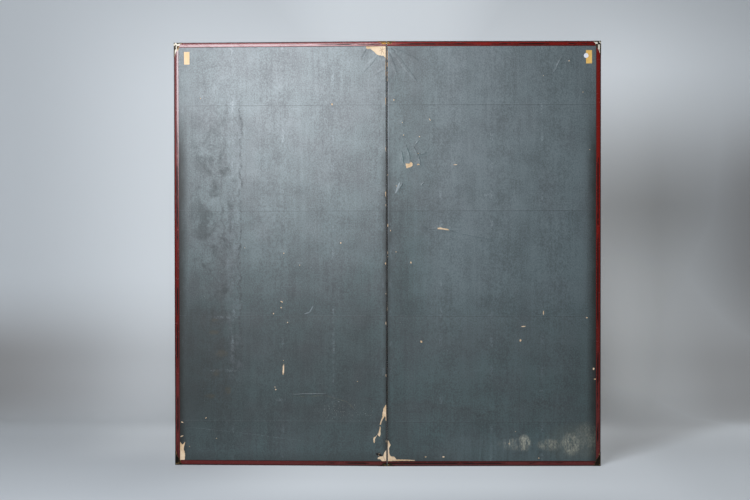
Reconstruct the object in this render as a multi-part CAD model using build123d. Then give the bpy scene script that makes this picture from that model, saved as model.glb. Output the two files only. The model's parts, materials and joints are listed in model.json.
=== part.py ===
from build123d import *

import os

# Two-panel paper folding screen.
#
# Each panel is a cedar lattice core, papered on both faces and edged on three sides with a
# lacquered frame. The two panels meet at a hinge made only of paper strips, which pass by
# turns from the back of one panel to the front of the other, so that it folds both ways.
#
# Frame of the part: X runs along the width, +Z is up, the papered backs face -Y and the gold
# fronts face +Y. Left and right are as seen from the back. Lengths are in millimetres.
#
# One panel is drawn in its own frame: u runs from the fold line to the outer edge, v from the
# back of the frame to its front, and z up from the underside of the frame. The right panel is
# used as drawn, and the left panel is its mirror image.

# ---------------------------------------------------------------- driving dimensions
panel_width = 865.0  # fold line to the outer side of the frame
panel_height = 1719.0  # over the lacquered frame, without the metal fittings
rest_fold_angle = 2.4  # how far the gold faces are folded towards each other, degrees

# lacquered frame
frame_face = 20.5  # width of a frame bar across the panel
frame_depth = 19.0  # back to front
crown_place = 12.5  # the highest line of the rounded face, from the outer side
inner_drop = 0.8  # fall of the face from the crown to its inner edge
outer_drop = 0.9  # fall of the face from the crown to the outer shoulder
shoulder_width = 3.6  # where the outer corner starts to turn
shoulder_depth = 4.2  # where the outer corner has turned into the side
corner_bulge = 0.9  # how far the rounded outer corner stands out of its chord

# papered core
back_recess = 2.0  # back paper below the crown of the frame
front_recess = 1.2  # front paper below the crown of the frame
facing_thickness = 0.2  # back paper and gold ground
under_thickness = 0.7  # the layers of under-paper on one face
core_bar_width = 24.0  # outer bars of the lattice core
lattice_bar_width = 13.0  # inner bars of the lattice core
upright_count = 3
crossbar_count = 13
tenon_thickness = 5.0
rail_tenon_length = 14.0
rail_tenon_shoulder = 4.0
bar_tenon_length = 9.0
tenon_end_gap = 0.5  # bottom of a mortise beyond its tenon

# brocade border on the front
border_width = 62.0
border_thickness = 0.4

# paper hinge
fold_gap = 3.0  # between the cores of the two panels when flat
hinge_strip_count = 9  # one below the other
hinge_tab_width = 38.0  # glued width of a strip on a panel's face
hinge_tab_thickness = 0.35
hinge_web_thickness = 0.6  # the part of a strip that crosses the fold
hinge_web_gap = 0.3  # between a web and the folded edge of a tab
hinge_slit = 1.0  # between one strip and the next

# metal fittings
fitting_thickness = 0.5
fitting_lip = 19.5  # width on the face of the frame, at the corner
fitting_lip_end = 5.0  # width on the face of the frame, at the end of an arm
fitting_upright_arm = 57.0  # along the stile
fitting_upright_square = 27.0  # full width up to here
fitting_level_arm = 32.0  # along the rail
fitting_level_square = 23.0
fitting_curve_pull = 3.0  # how far the curved edge is drawn in towards the corner
fold_cap_length = 34.0  # fitting at the fold end of a rail
fold_cap_square = 16.0
fold_cap_lip = 12.0
fold_cap_lip_end = 2.5
closing_gap = 0.3  # each side of the fold plane when the screen is shut

# fasteners
nail_radius = 1.0
nail_head_radius = 1.9
nail_head_thickness = 0.8
nail_depth_in_core = 14.0
nail_clearance = 0.05
stile_nail_count = 7
rail_nail_count = 4
nail_end_distance = 110.0  # first and last nail of a bar, from its ends
tack_head_radius = 1.6
tack_head_height = 0.5
tack_shank_radius = 0.6
tack_shank_length = 6.0
tack_place = 5.0  # from the outer side of the frame
tack_arm_distance = 47.0  # tack in the long arm, from the corner

# labels on the back
label_thickness = 0.15
label_widths = {"left": 22.0, "right": 24.0}
label_heights = {"left": 51.0, "right": 53.5}
label_margins = {"left": 42.0, "right": 36.5}  # from the outer side of the frame
label_drop = 37.5  # from the top of the frame
sticker_radius = 9.5
sticker_thickness = 0.1
sticker_shift = 11.5  # from the middle of the right label towards the fold
sticker_lift = 5.0

# ---------------------------------------------------------------- worked-out levels
back_paper_v = back_recess
back_under_v = back_paper_v + facing_thickness
core_back_v = back_under_v + under_thickness
front_paper_v = frame_depth - front_recess
front_under_v = front_paper_v - facing_thickness
core_front_v = front_under_v - under_thickness
core_middle_v = (core_back_v + core_front_v) / 2
middle_v = frame_depth / 2
middle_z = panel_height / 2

fold_edge_u = fold_gap / 2
paper_edge_u = fold_edge_u - facing_thickness
body_outer_u = panel_width - frame_face
body_bottom_z = frame_face
body_top_z = panel_height - frame_face

# The panels turn about two upright lines in the fold plane. Each lies just outside the
# fittings, which touch first when the screen is shut.
front_fold_v = frame_depth + fitting_thickness + closing_gap
back_fold_v = -fitting_thickness - closing_gap


def block(u_from, u_to, v_from, v_to, z_from, z_to):
    """A box between two corners."""
    size = (u_to - u_from, v_to - v_from, z_to - z_from)
    middle = ((u_from + u_to) / 2, (v_from + v_to) / 2, (z_from + z_to) / 2)
    return Pos(*middle) * Box(*size)


def prism(outline, v_from, v_to):
    """A straight prism whose outline is a face drawn in u and z."""
    upright = Plane(origin=(0, v_from, 0), x_dir=(1, 0, 0), z_dir=(0, -1, 0))
    return extrude(upright * outline, amount=-(v_to - v_from))


def polygon(*points):
    """A face with straight sides."""
    return make_face(Polyline(*points, close=True))


def group(shapes):
    """Separate solids in one node."""
    return Compound([solid for shape in shapes for solid in shape.solids()])


def spread(first, last, count):
    """Evenly spaced places from first to last."""
    return [first + (last - first) * n / (count - 1) for n in range(count)]


def at_bottom(shape):
    """The same piece at the other end of the panel."""
    return mirror(shape, about=Plane(origin=(0, 0, middle_z), z_dir=(0, 0, 1)))


# ---------------------------------------------------------------- lacquered frame
def frame_section():
    """Section of a frame bar: x from its outer side inwards, y from its back forwards."""
    back_shoulder = (shoulder_width, outer_drop)
    back_side = (0, shoulder_depth)
    front_side = (0, frame_depth - shoulder_depth)
    front_shoulder = (shoulder_width, frame_depth - outer_drop)
    bulge_x = shoulder_width / 2 - corner_bulge
    bulge_y = (outer_drop + shoulder_depth) / 2 - corner_bulge
    inner_back = (frame_face, inner_drop)
    inner_front = (frame_face, frame_depth - inner_drop)
    outline = [
        Line(back_side, front_side),
        ThreePointArc(front_side, (bulge_x, frame_depth - bulge_y), front_shoulder),
        ThreePointArc(front_shoulder, (crown_place, frame_depth), inner_front),
        Line(inner_front, inner_back),
        ThreePointArc(inner_back, (crown_place, 0), back_shoulder),
        ThreePointArc(back_shoulder, (bulge_x, bulge_y), back_side),
    ]
    return make_face(outline)


def crown_fall(place):
    """Fall of the frame's face below its crown, at a place from the outer side."""
    share = (crown_place - place) / (crown_place - shoulder_width)
    return outer_drop * share**2


def run_up_stile(section, reach=0.0):
    """A section run up the outer side of the panel, and past both ends by reach."""
    foot = Plane(origin=(panel_width, 0, -reach), x_dir=(-1, 0, 0), z_dir=(0, 0, -1))
    return extrude(foot * section, amount=-(panel_height + 2 * reach))


def run_along_top(section, reach=0.0):
    """A section run along the top of the panel from the fold, and past the corner by reach."""
    fold_end = Plane(origin=(fold_edge_u, 0, panel_height), x_dir=(0, 0, -1), z_dir=(1, 0, 0))
    return extrude(fold_end * section, amount=panel_width + reach - fold_edge_u)


def mitre_zones(reach):
    """The shares of the stile and of the top rail, which meet at the mitre."""
    outer_u = panel_width + reach
    low_z, high_z = -reach, panel_height + reach
    low_in_z, high_in_z = frame_face, panel_height - frame_face
    stile = polygon(
        (outer_u, low_z), (outer_u, high_z), (body_outer_u, high_in_z), (body_outer_u, low_in_z)
    )
    top = polygon((outer_u, high_z), (0, high_z), (0, high_in_z), (body_outer_u, high_in_z))
    levels = (-reach, frame_depth + reach)
    return prism(stile, *levels), prism(top, *levels)


def frame_bars():
    """The outer stile and the top rail, mitred to each other."""
    section = frame_section()
    stile_zone, top_zone = mitre_zones(fitting_thickness)
    return run_up_stile(section) & stile_zone, run_along_top(section) & top_zone


# ---------------------------------------------------------------- metal fittings
def wrapped_bars():
    """The same two bars with a skin of sheet metal all round."""
    skin = offset(frame_section(), amount=fitting_thickness, kind=Kind.INTERSECTION)
    reach = fitting_thickness
    stile_zone, top_zone = mitre_zones(reach)
    return run_up_stile(skin, reach) & stile_zone, run_along_top(skin, reach) & top_zone


def arm_curve(wide, narrow, pull_u, pull_z):
    """The curved edge of a fitting, from its full width to the narrow end of an arm."""
    middle_u = (wide[0] + narrow[0]) / 2 + pull_u
    middle_z_of_curve = (wide[1] + narrow[1]) / 2 + pull_z
    return ThreePointArc(wide, (middle_u, middle_z_of_curve), narrow)


def corner_outline():
    """A corner fitting on the face of the frame, at the top outer corner."""
    out_u, out_z = panel_width + fitting_thickness, panel_height + fitting_thickness
    in_u, in_z = panel_width - fitting_lip, panel_height - fitting_lip
    end_u, end_z = panel_width - fitting_level_arm, panel_height - fitting_upright_arm
    level_wide = (panel_width - fitting_level_square, in_z)
    level_narrow = (end_u, panel_height - fitting_lip_end)
    upright_wide = (in_u, panel_height - fitting_upright_square)
    upright_narrow = (panel_width - fitting_lip_end, end_z)
    pull = fitting_curve_pull
    outline = [
        Polyline(upright_narrow, (out_u, end_z), (out_u, out_z), (end_u, out_z), level_narrow),
        arm_curve(level_wide, level_narrow, pull, pull),
        Polyline(level_wide, (in_u, in_z), upright_wide),
        arm_curve(upright_wide, upright_narrow, pull, pull),
    ]
    return make_face(outline)


def corner_side_outline():
    """A corner fitting on the outer sides of the frame: a strip as deep as the shoulder."""
    out_u, out_z = panel_width + fitting_thickness, panel_height + fitting_thickness
    in_u, in_z = panel_width - shoulder_width, panel_height - shoulder_width
    end_u, end_z = panel_width - fitting_level_arm, panel_height - fitting_upright_arm
    return polygon(
        (out_u, out_z), (end_u, out_z), (end_u, in_z), (in_u, in_z), (in_u, end_z), (out_u, end_z)
    )


def cap_outline():
    """A fold cap on the face of the frame."""
    out_z, in_z = panel_height + fitting_thickness, panel_height - fold_cap_lip
    end_u = fold_edge_u + fold_cap_length
    wide = (fold_edge_u + fold_cap_square, in_z)
    narrow = (end_u, panel_height - fold_cap_lip_end)
    outline = [
        Polyline(narrow, (end_u, out_z), (fold_edge_u, out_z), (fold_edge_u, in_z), wide),
        arm_curve(wide, narrow, -fitting_curve_pull, fitting_curve_pull),
    ]
    return make_face(outline)


def cap_side_outline():
    """A fold cap on the outer side of the rail."""
    out_z, in_z = panel_height + fitting_thickness, panel_height - shoulder_width
    end_u = fold_edge_u + fold_cap_length
    return polygon((fold_edge_u, in_z), (end_u, in_z), (end_u, out_z), (fold_edge_u, out_z))


def sheet_zone(face_outline, side_outline):
    """Where a folded fitting lies: on both faces of the frame and round its outer side."""
    skin = fitting_thickness
    back = prism(face_outline, -skin, shoulder_depth)
    sides = prism(side_outline, outer_drop, frame_depth - outer_drop)
    front = prism(face_outline, frame_depth - shoulder_depth, frame_depth + skin)
    return back + sides + front


def top_fittings(bars):
    """The corner fitting and the fold cap of the top rail."""
    wrapped_stile, wrapped_top = wrapped_bars()
    stile, top = bars
    corner = (wrapped_stile + wrapped_top) & sheet_zone(corner_outline(), corner_side_outline())
    cap = wrapped_top & sheet_zone(cap_outline(), cap_side_outline())
    return corner - stile - top, cap - top


# ---------------------------------------------------------------- fasteners
def nail(extra=0.0):
    """A frame nail that points along -Z, with its head's top at the origin."""
    length = frame_face + nail_depth_in_core + extra
    shank = Pos(0, 0, -length / 2) * Cylinder(nail_radius + extra, length)
    head_middle = Pos(0, 0, -nail_head_thickness / 2)
    return shank + head_middle * Cylinder(nail_head_radius + extra, nail_head_thickness)


def nail_places():
    """Heads of the frame nails, flush with the outer sides of the three frame bars."""
    stile_z = spread(nail_end_distance, panel_height - nail_end_distance, stile_nail_count)
    rail_u = spread(nail_end_distance, panel_width - nail_end_distance, rail_nail_count)
    stile = [Pos(panel_width, middle_v, z) * Rotation(0, 90, 0) for z in stile_z]
    top = [Pos(u, middle_v, panel_height) for u in rail_u]
    bottom = [Pos(u, middle_v, 0) * Rotation(180, 0, 0) for u in rail_u]
    return {"stile": stile, "top": top, "bottom": bottom}


def tack(extra=0.0):
    """A domed tack that points along -Z, with the underside of its head at the origin."""
    length = tack_shank_length + extra
    shank = Pos(0, 0, -length / 2) * Cylinder(tack_shank_radius + extra, length)
    dome_radius = (tack_head_radius**2 + tack_head_height**2) / (2 * tack_head_height)
    dome = Pos(0, 0, tack_head_height - dome_radius) * Sphere(dome_radius)
    head_room = Pos(0, 0, tack_head_height / 2) * Cylinder(tack_head_radius, tack_head_height)
    return shank + (dome & head_room)


def tack_places():
    """Tacks of the top corner fitting and of the top fold cap, on both faces."""
    lift = fitting_thickness - crown_fall(tack_place)
    tack_z = panel_height - tack_place
    spots = {
        "corner": (panel_width - tack_place, tack_z),
        "arm": (panel_width - tack_place, panel_height - tack_arm_distance),
        "cap": (fold_edge_u + tack_place, tack_z),
    }
    places = {}
    for name, (u, z) in spots.items():
        places[name] = [
            Pos(u, -lift, z) * Rotation(90, 0, 0),
            Pos(u, frame_depth + lift, z) * Rotation(-90, 0, 0),
        ]
    return places


# ---------------------------------------------------------------- lattice core
core_inside_u = (fold_edge_u + core_bar_width, body_outer_u - core_bar_width)
core_inside_z = (body_bottom_z + core_bar_width, body_top_z - core_bar_width)
core_levels = (core_back_v, core_front_v)
tenon_levels = (core_middle_v - tenon_thickness / 2, core_middle_v + tenon_thickness / 2)
half_bar = lattice_bar_width / 2


def evenly_between(outer_places, count):
    """Centres of inner bars that share the space between two outer bars."""
    low, high = outer_places
    first, last = low - core_bar_width / 2, high + core_bar_width / 2
    return spread(first, last, count + 2)[1:-1]


upright_places = evenly_between(core_inside_u, upright_count)
crossbar_places = evenly_between(core_inside_z, crossbar_count)


def crossbar(extra=0.0):
    """A level lattice bar at z = 0, with a stub tenon at each end. extra lengthens those."""
    low, high = core_inside_u
    reach = bar_tenon_length + extra
    bar = block(low, high, *core_levels, -half_bar, half_bar)
    return bar + block(low - reach, high + reach, *tenon_levels, -half_bar, half_bar)


def upright(extra=0.0):
    """An upright lattice bar at u = 0, with a stub tenon at each end."""
    low, high = core_inside_z
    reach = bar_tenon_length + extra
    bar = block(-half_bar, half_bar, *core_levels, low, high)
    return bar + block(-half_bar, half_bar, *tenon_levels, low - reach, high + reach)


def core_rail(extra=0.0):
    """Top bar of the core, tenoned into the two outer bars."""
    low, high = core_inside_u
    reach = rail_tenon_length + extra
    foot_z, head_z = body_top_z - core_bar_width, body_top_z
    tenon_z = (foot_z + rail_tenon_shoulder, head_z - rail_tenon_shoulder)
    rail = block(low, high, *core_levels, foot_z, head_z)
    return rail + block(low - reach, high + reach, *tenon_levels, *tenon_z)


def lattice_core():
    """Four outer bars, and inner bars halved into each other."""
    crossbar_mortises = [Pos(0, 0, z) * crossbar(tenon_end_gap) for z in crossbar_places]
    rail_mortise = core_rail(tenon_end_gap)
    mortises = crossbar_mortises + [rail_mortise, at_bottom(rail_mortise)]
    heights = (body_bottom_z, body_top_z)
    fold_stile = block(fold_edge_u, core_inside_u[0], *core_levels, *heights) - mortises
    outer_stile = block(core_inside_u[1], body_outer_u, *core_levels, *heights) - mortises
    top_rail = core_rail() - [Pos(u, 0, 0) * upright(tenon_end_gap) for u in upright_places]
    back_halves = [
        block(u - half_bar, u + half_bar, core_back_v, core_middle_v, -half_bar, half_bar)
        for u in upright_places
    ]
    front_halves = [
        block(-half_bar, half_bar, core_middle_v, core_front_v, z - half_bar, z + half_bar)
        for z in crossbar_places
    ]
    notched_crossbar = crossbar() - back_halves
    notched_upright = upright() - front_halves
    return {
        "core_fold_stile": fold_stile,
        "core_outer_stile": outer_stile,
        "core_top_rail": top_rail,
        "core_bottom_rail": at_bottom(top_rail),
        "lattice_crossbars": group([Pos(0, 0, z) * notched_crossbar for z in crossbar_places]),
        "lattice_uprights": group([Pos(u, 0, 0) * notched_upright for u in upright_places]),
    }


# ---------------------------------------------------------------- paper hinge
tab_levels = {
    "back": (back_under_v, back_under_v + hinge_tab_thickness),
    "front": (front_under_v - hinge_tab_thickness, front_under_v),
}


def strip_spans(side):
    """Lower and upper ends of the strips that are glued to this side's back."""
    step = (body_top_z - body_bottom_z) / hinge_strip_count
    first = {"left": 0, "right": 1}[side]
    margin = hinge_slit / 2
    ends = [body_bottom_z + step * n for n in range(first, hinge_strip_count, 2)]
    return [(z + margin, z + step - margin) for z in ends]


def hinge_tabs(side, face):
    """The glued ends of the strips on one face of a panel."""
    other = {"left": "right", "right": "left"}[side]
    spans = strip_spans(side if face == "back" else other)
    tip_u = hinge_web_thickness / 2 + hinge_web_gap
    end_u = fold_edge_u + hinge_tab_width
    return group([block(tip_u, end_u, *tab_levels[face], *span) for span in spans])


def hinge_webs(side):
    """The crossings of the strips that are glued to this side's back."""
    half = hinge_web_thickness / 2
    spans = strip_spans(side)
    return group([block(-half, half, back_under_v, front_under_v, *span) for span in spans])


# ---------------------------------------------------------------- papers and border
def papers(side):
    """The papers of one panel, let in for the tabs of the hinge."""
    heights = (body_bottom_z, body_top_z)
    tabs = {face: hinge_tabs(side, face) for face in tab_levels}
    back_under = block(fold_edge_u, body_outer_u, back_under_v, core_back_v, *heights)
    front_under = block(fold_edge_u, body_outer_u, core_front_v, front_under_v, *heights)
    back_facing = block(paper_edge_u, body_outer_u, back_paper_v, back_under_v, *heights)
    turned_edge = block(paper_edge_u, fold_edge_u, back_under_v, front_under_v, *heights)
    return {
        "back_underpaper": back_under - tabs["back"],
        "front_underpaper": front_under - tabs["front"],
        "back_paper": back_facing + turned_edge - tabs["back"] - tabs["front"],
        "hinge_back_tabs": tabs["back"],
        "hinge_front_tabs": tabs["front"],
    }


def front_facings():
    """The gold ground and the three mitred strips of the brocade border round it."""
    in_u = body_outer_u - border_width
    low_z, high_z = body_bottom_z + border_width, body_top_z - border_width
    outer_strip = polygon(
        (body_outer_u, body_bottom_z), (body_outer_u, body_top_z), (in_u, high_z), (in_u, low_z)
    )
    top_strip = polygon(
        (paper_edge_u, body_top_z), (body_outer_u, body_top_z), (in_u, high_z), (paper_edge_u, high_z)
    )
    levels = (front_under_v, front_under_v + border_thickness)
    border_top = prism(top_strip, *levels)
    return {
        "gold_ground": block(paper_edge_u, in_u, front_under_v, front_paper_v, low_z, high_z),
        "border_outer": prism(outer_strip, *levels),
        "border_top": border_top,
        "border_bottom": at_bottom(border_top),
    }


def label_middle(side):
    """Centre of a label, in u and z."""
    u = panel_width - label_margins[side] - label_widths[side] / 2
    return u, panel_height - label_drop - label_heights[side] / 2


def label(side):
    """A blank paper label near the top outer corner of the back."""
    u, z = label_middle(side)
    half_width, half_height = label_widths[side] / 2, label_heights[side] / 2
    levels = (back_paper_v - label_thickness, back_paper_v)
    return block(u - half_width, u + half_width, *levels, z - half_height, z + half_height)


def sticker():
    """A blank round sticker that overlaps the right panel's label."""
    label_u, label_z = label_middle("right")
    v = back_paper_v - label_thickness - sticker_thickness / 2
    middle = Pos(label_u - sticker_shift, v, label_z + sticker_lift)
    return middle * Rotation(90, 0, 0) * Cylinder(sticker_radius, sticker_thickness)


# ---------------------------------------------------------------- the panels and the screen
def common_pieces():
    """The pieces that both panels share, in the panel's own frame."""
    stile, top = frame_bars()
    corner, cap = top_fittings((stile, top))
    nails = nail_places()
    nail_holes = {bar: [place * nail(nail_clearance) for place in nails[bar]] for bar in nails}
    tacks = tack_places()
    tack_holes = {spot: [place * tack(nail_clearance) for place in tacks[spot]] for spot in tacks}
    shoe_holes = tack_holes["corner"] + tack_holes["arm"]
    bottom_shoe_holes = [at_bottom(hole) for hole in shoe_holes]

    core = lattice_core()
    core["core_outer_stile"] -= nail_holes["stile"]
    core["core_top_rail"] -= nail_holes["top"]
    core["core_bottom_rail"] -= nail_holes["bottom"]
    holed_top = top - nail_holes["top"] - tack_holes["cap"] - tack_holes["corner"]
    corner -= shoe_holes
    cap -= tack_holes["cap"]
    all_tacks = [place * tack() for spot in tacks.values() for place in spot]
    return core | front_facings() | {
        "frame_outer_stile": stile - nail_holes["stile"] - shoe_holes - bottom_shoe_holes,
        "frame_top_rail": holed_top,
        "frame_bottom_rail": at_bottom(holed_top),
        "top_corner_fitting": corner,
        "bottom_corner_fitting": at_bottom(corner),
        "top_fold_cap": cap,
        "bottom_fold_cap": at_bottom(cap),
        "frame_nails": group([place * nail() for bar in nails.values() for place in bar]),
        "fitting_tacks": group(all_tacks + [at_bottom(piece) for piece in all_tacks]),
    }


def turned_to_rest(shape, side):
    """A piece mirrored to its side and swung about the front fold line to the rest angle."""
    if side == "left":
        shape = mirror(shape, about=Plane.YZ)
    swing = rest_fold_angle / 2 * {"left": -1, "right": 1}[side]
    return shape.rotate(Axis((0, front_fold_v, 0), (0, 0, 1)), swing)


def screen():
    """Every piece of the screen by node name, with the origin under the middle of its box."""
    common = common_pieces()
    nodes = {}
    for side in ("left", "right"):
        pieces = common | papers(side) | {"label": label(side)}
        if side == "right":
            pieces["round_sticker"] = sticker()
        nodes |= {f"{side}_{name}": turned_to_rest(piece, side) for name, piece in pieces.items()}
        nodes[f"hinge_webs_from_{side}_back"] = turned_to_rest(hinge_webs(side), side)
    box = Compound(list(nodes.values())).bounding_box()
    to_origin = Pos(-box.center().X, -box.center().Y, -box.min.Z)
    return {name: to_origin * piece for name, piece in nodes.items()}


if __name__ == "__main__":
    os.makedirs("parts", exist_ok=True)
    for node_name, node_shape in screen().items():
        export_step(node_shape, f"parts/{node_name}.step")
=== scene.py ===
# %% [markdown]
# # A two-panel paper folding screen
#
# The screen is a byobu: two light lattice panels, papered on both faces, framed on three
# sides in red lacquer and joined by paper hinges alone. The solid parts come from the CAD
# model. This script gives every part its finish, and models the papers of the backs again,
# because real paper tears, lifts and shows what lies under it.
#
# The first cell loads the CAD parts. They stay exactly where they are, and everything else is
# measured from them.

import json
import math
import random

import bmesh
import bpy
from mathutils import Matrix, Vector, noise
from mathutils.kdtree import KDTree


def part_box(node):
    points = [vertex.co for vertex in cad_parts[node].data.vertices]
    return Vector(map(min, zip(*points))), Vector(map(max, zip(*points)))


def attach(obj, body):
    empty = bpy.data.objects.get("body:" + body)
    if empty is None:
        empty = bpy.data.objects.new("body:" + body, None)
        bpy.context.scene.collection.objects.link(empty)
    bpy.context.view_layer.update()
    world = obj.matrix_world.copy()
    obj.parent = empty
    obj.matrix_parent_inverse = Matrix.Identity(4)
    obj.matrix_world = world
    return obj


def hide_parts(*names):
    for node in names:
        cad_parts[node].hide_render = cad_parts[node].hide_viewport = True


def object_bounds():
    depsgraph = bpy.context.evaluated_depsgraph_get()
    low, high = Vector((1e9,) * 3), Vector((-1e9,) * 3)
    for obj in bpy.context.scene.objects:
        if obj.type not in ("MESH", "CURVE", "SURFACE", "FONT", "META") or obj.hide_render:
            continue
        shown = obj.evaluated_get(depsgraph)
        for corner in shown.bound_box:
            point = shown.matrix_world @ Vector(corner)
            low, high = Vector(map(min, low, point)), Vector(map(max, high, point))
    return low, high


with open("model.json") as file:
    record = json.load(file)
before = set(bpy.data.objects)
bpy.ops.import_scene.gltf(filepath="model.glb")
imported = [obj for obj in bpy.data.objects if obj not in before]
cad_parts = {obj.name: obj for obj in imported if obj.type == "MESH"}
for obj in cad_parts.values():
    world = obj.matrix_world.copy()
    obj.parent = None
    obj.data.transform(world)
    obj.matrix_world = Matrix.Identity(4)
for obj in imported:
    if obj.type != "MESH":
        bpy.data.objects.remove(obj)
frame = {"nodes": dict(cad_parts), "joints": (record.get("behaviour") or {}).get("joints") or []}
size_of_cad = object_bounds()
bpy.ops.object.select_all(action="DESELECT")
nodes = frame["nodes"]
MM = 0.001
print(len(nodes), "CAD parts in a box", [tuple(round(v, 4) for v in c) for c in size_of_cad])

# %% [markdown]
# ## The lines that everything is measured from
#
# Both panels turn about upright lines at the fold, which the joints give. At rest the gold
# faces are folded towards each other by a small angle. A piece is easiest to model on a screen
# that is opened flat, so each new piece is made there and then turned to the rest angle with
# its panel. u is the distance from the fold, v the depth from the back of the frame, z the
# height.

# %% Fold lines, panel sizes and the turn to rest
joints = {joint["name"]: joint for joint in frame["joints"]}
front_fold = Vector(joints["fold_gold_faces_together"]["pos_m"])
rest_angle = -math.radians(joints["fold_gold_faces_together"]["range_deg"][0])
SIDES = {"left": -1, "right": 1}

frame_depth = 19 * MM
front_fold_v = frame_depth + 0.8 * MM
paper_v = 2.0 * MM  # outer face of the back paper
paper_thickness = 0.2 * MM
front_paper_v = 17.8 * MM

low_corner, high_corner = size_of_cad
middle_z = (low_corner.z + high_corner.z) / 2
panel_height = high_corner.z - low_corner.z
panel_width = high_corner.x
paper_low_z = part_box("right_back_paper")[0].z
paper_high_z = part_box("right_back_paper")[1].z
paper_fold_u = 1.3 * MM
paper_outer_u = 844.5 * MM


def flat_y(v):
    """Y of a depth v on the screen opened flat."""
    return front_fold.y - front_fold_v + v


def settle(piece, side):
    """Turns a mesh modelled on the flat screen to the rest angle of its panel."""
    hinge = Matrix.Translation((front_fold.x, front_fold.y, 0))
    swing = Matrix.Rotation(rest_angle / 2 * SIDES[side], 4, "Z")
    piece.data.transform(hinge @ swing @ hinge.inverted() @ piece.matrix_world)
    piece.matrix_world = Matrix.Identity(4)
    return piece


print("paper from", round(paper_low_z, 4), "to", round(paper_high_z, 4), "m high")

# %% [markdown]
# ## Shader helpers
#
# A finish is a small network of shader nodes. Writing `nodes.new` and `links.new` for each one
# hides the idea behind the plumbing, so these helpers add a node to the tree that is being drawn,
# and set or link its inputs in one line. An output is wrapped, so that Python's own signs work on
# it: `1.0 - dirt * 0.5` makes two Math nodes. Colours are written as they are mixed on screen,
# from 0 to 255, and turned to the linear values that the renderer works in.

# %% Shader helpers
class Drawing:
    """The node tree that the helpers add to."""

    tree = None


class Output:
    """The output of a node, with the signs of arithmetic."""

    def __init__(self, socket):
        self.socket = socket

    def __abs__(self):
        return calc("ABSOLUTE", self)

    def __add__(self, other):
        return calc("ADD", self, other)

    def __radd__(self, other):
        return calc("ADD", other, self)

    def __sub__(self, other):
        return calc("SUBTRACT", self, other)

    def __rsub__(self, other):
        return calc("SUBTRACT", other, self)

    def __mul__(self, other):
        return calc("MULTIPLY", self, other)

    def __truediv__(self, other):
        return calc("DIVIDE", self, other)


def fill(node, inputs):
    """Links the inputs of a node to outputs, or sets them to values."""
    for name, value in inputs.items():
        if isinstance(value, Output):
            Drawing.tree.links.new(value.socket, node.inputs[name])
        else:
            node.inputs[name].default_value = value


def new_node(kind, inputs=None, **settings):
    """One shader node with its options and inputs."""
    made = Drawing.tree.nodes.new("ShaderNode" + kind)
    for name, value in settings.items():
        setattr(made, name, value)
    fill(made, inputs or {})
    return made


def add(kind, inputs=None, output=0, **settings):
    """One output of a new node."""
    return Output(new_node(kind, inputs, **settings).outputs[output])


def calc(operation, *values):
    """Arithmetic on values that vary over the surface."""
    return add("Math", dict(enumerate(values)), operation=operation)


def mixed(share, first, second):
    """A colour between two colours."""
    return add("Mix", {0: share, 6: first, 7: second}, output=2, data_type="RGBA")


def ease(value, start, end):
    """0 before start, 1 after end, and smooth between them."""
    limits = {"Value": value, "From Min": start, "From Max": end}
    return add("MapRange", limits, interpolation_type="SMOOTHSTEP")


def tint(red, green, blue):
    """A screen colour, 0 to 255, as linear light."""
    parts = (value / 255 for value in (red, green, blue))
    linear = [p / 12.92 if p <= 0.04045 else ((p + 0.055) / 1.055) ** 2.4 for p in parts]
    return (*linear, 1.0)


def new_material(name):
    """A material, its Principled shader, and the place on the object whole and as X, Y and Z."""
    material = bpy.data.materials.new(name)
    material.use_nodes = True
    Drawing.tree = material.node_tree
    place = add("TexCoord", output="Object")
    split = new_node("SeparateXYZ", {"Vector": place})
    parts = {axis: Output(split.outputs[axis]) for axis in "XYZ"}
    return material, material.node_tree.nodes["Principled BSDF"], place, parts


def clouds(place, scale, detail=4.0, stretch=(1, 1, 1), roughness=0.5, distortion=0.0):
    """Noise that can be stretched along an axis."""
    mapped = add("Mapping", {"Vector": place, "Scale": stretch})
    settings = {"Vector": mapped, "Scale": scale, "Detail": detail}
    settings |= {"Roughness": roughness, "Distortion": distortion}
    return add("TexNoise", settings, output="Fac")


def bump(height, distance, strength, below=None):
    """A normal from a height, on top of another one."""
    inputs = {"Height": height, "Distance": distance, "Strength": strength}
    if below is not None:
        inputs["Normal"] = below
    return add("Bump", inputs)


# %% [markdown]
# ## Effects that several finishes share
#
# A shader node group is built once and placed in each material with its own values. Three are
# used all over the screen: a band along a line, a soft streak between two points, and the fine
# fibres and flecks of handmade paper.

# %% Shared effects
def new_group(name, takes, gives):
    """A group with named inputs, with their start values, and outputs."""
    group = bpy.data.node_groups.new(name, "ShaderNodeTree")
    for socket, start in takes.items():
        kind = "NodeSocketFloat" if isinstance(start, float) else "NodeSocketVector"
        made = group.interface.new_socket(socket, in_out="INPUT", socket_type=kind)
        made.default_value = start
    for socket in gives:
        group.interface.new_socket(socket, in_out="OUTPUT", socket_type="NodeSocketFloat")
    entry, way_out = group.nodes.new("NodeGroupInput"), group.nodes.new("NodeGroupOutput")
    Drawing.tree = group
    return group, {socket: Output(entry.outputs[socket]) for socket in takes}, way_out


def place_group(group, **inputs):
    """Places a group in the tree, and gives its outputs by name."""
    made = Drawing.tree.nodes.new("ShaderNodeGroup")
    made.node_tree = group
    fill(made, {name.replace("_", " ").capitalize(): value for name, value in inputs.items()})
    return {socket.name: Output(socket) for socket in made.outputs}


def make_band():
    """1 within a half width of a line, falling softly to 0."""
    takes = {"Value": 0.0, "Centre": 0.0, "Half width": 0.01, "Softness": 0.01}
    group, given, way_out = new_group("Band along a line", takes, ["Mask"])
    away = abs(given["Value"] - given["Centre"])
    outside = ease(away, given["Half width"], given["Half width"] + given["Softness"])
    fill(way_out, {"Mask": 1.0 - outside})
    return group


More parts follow.
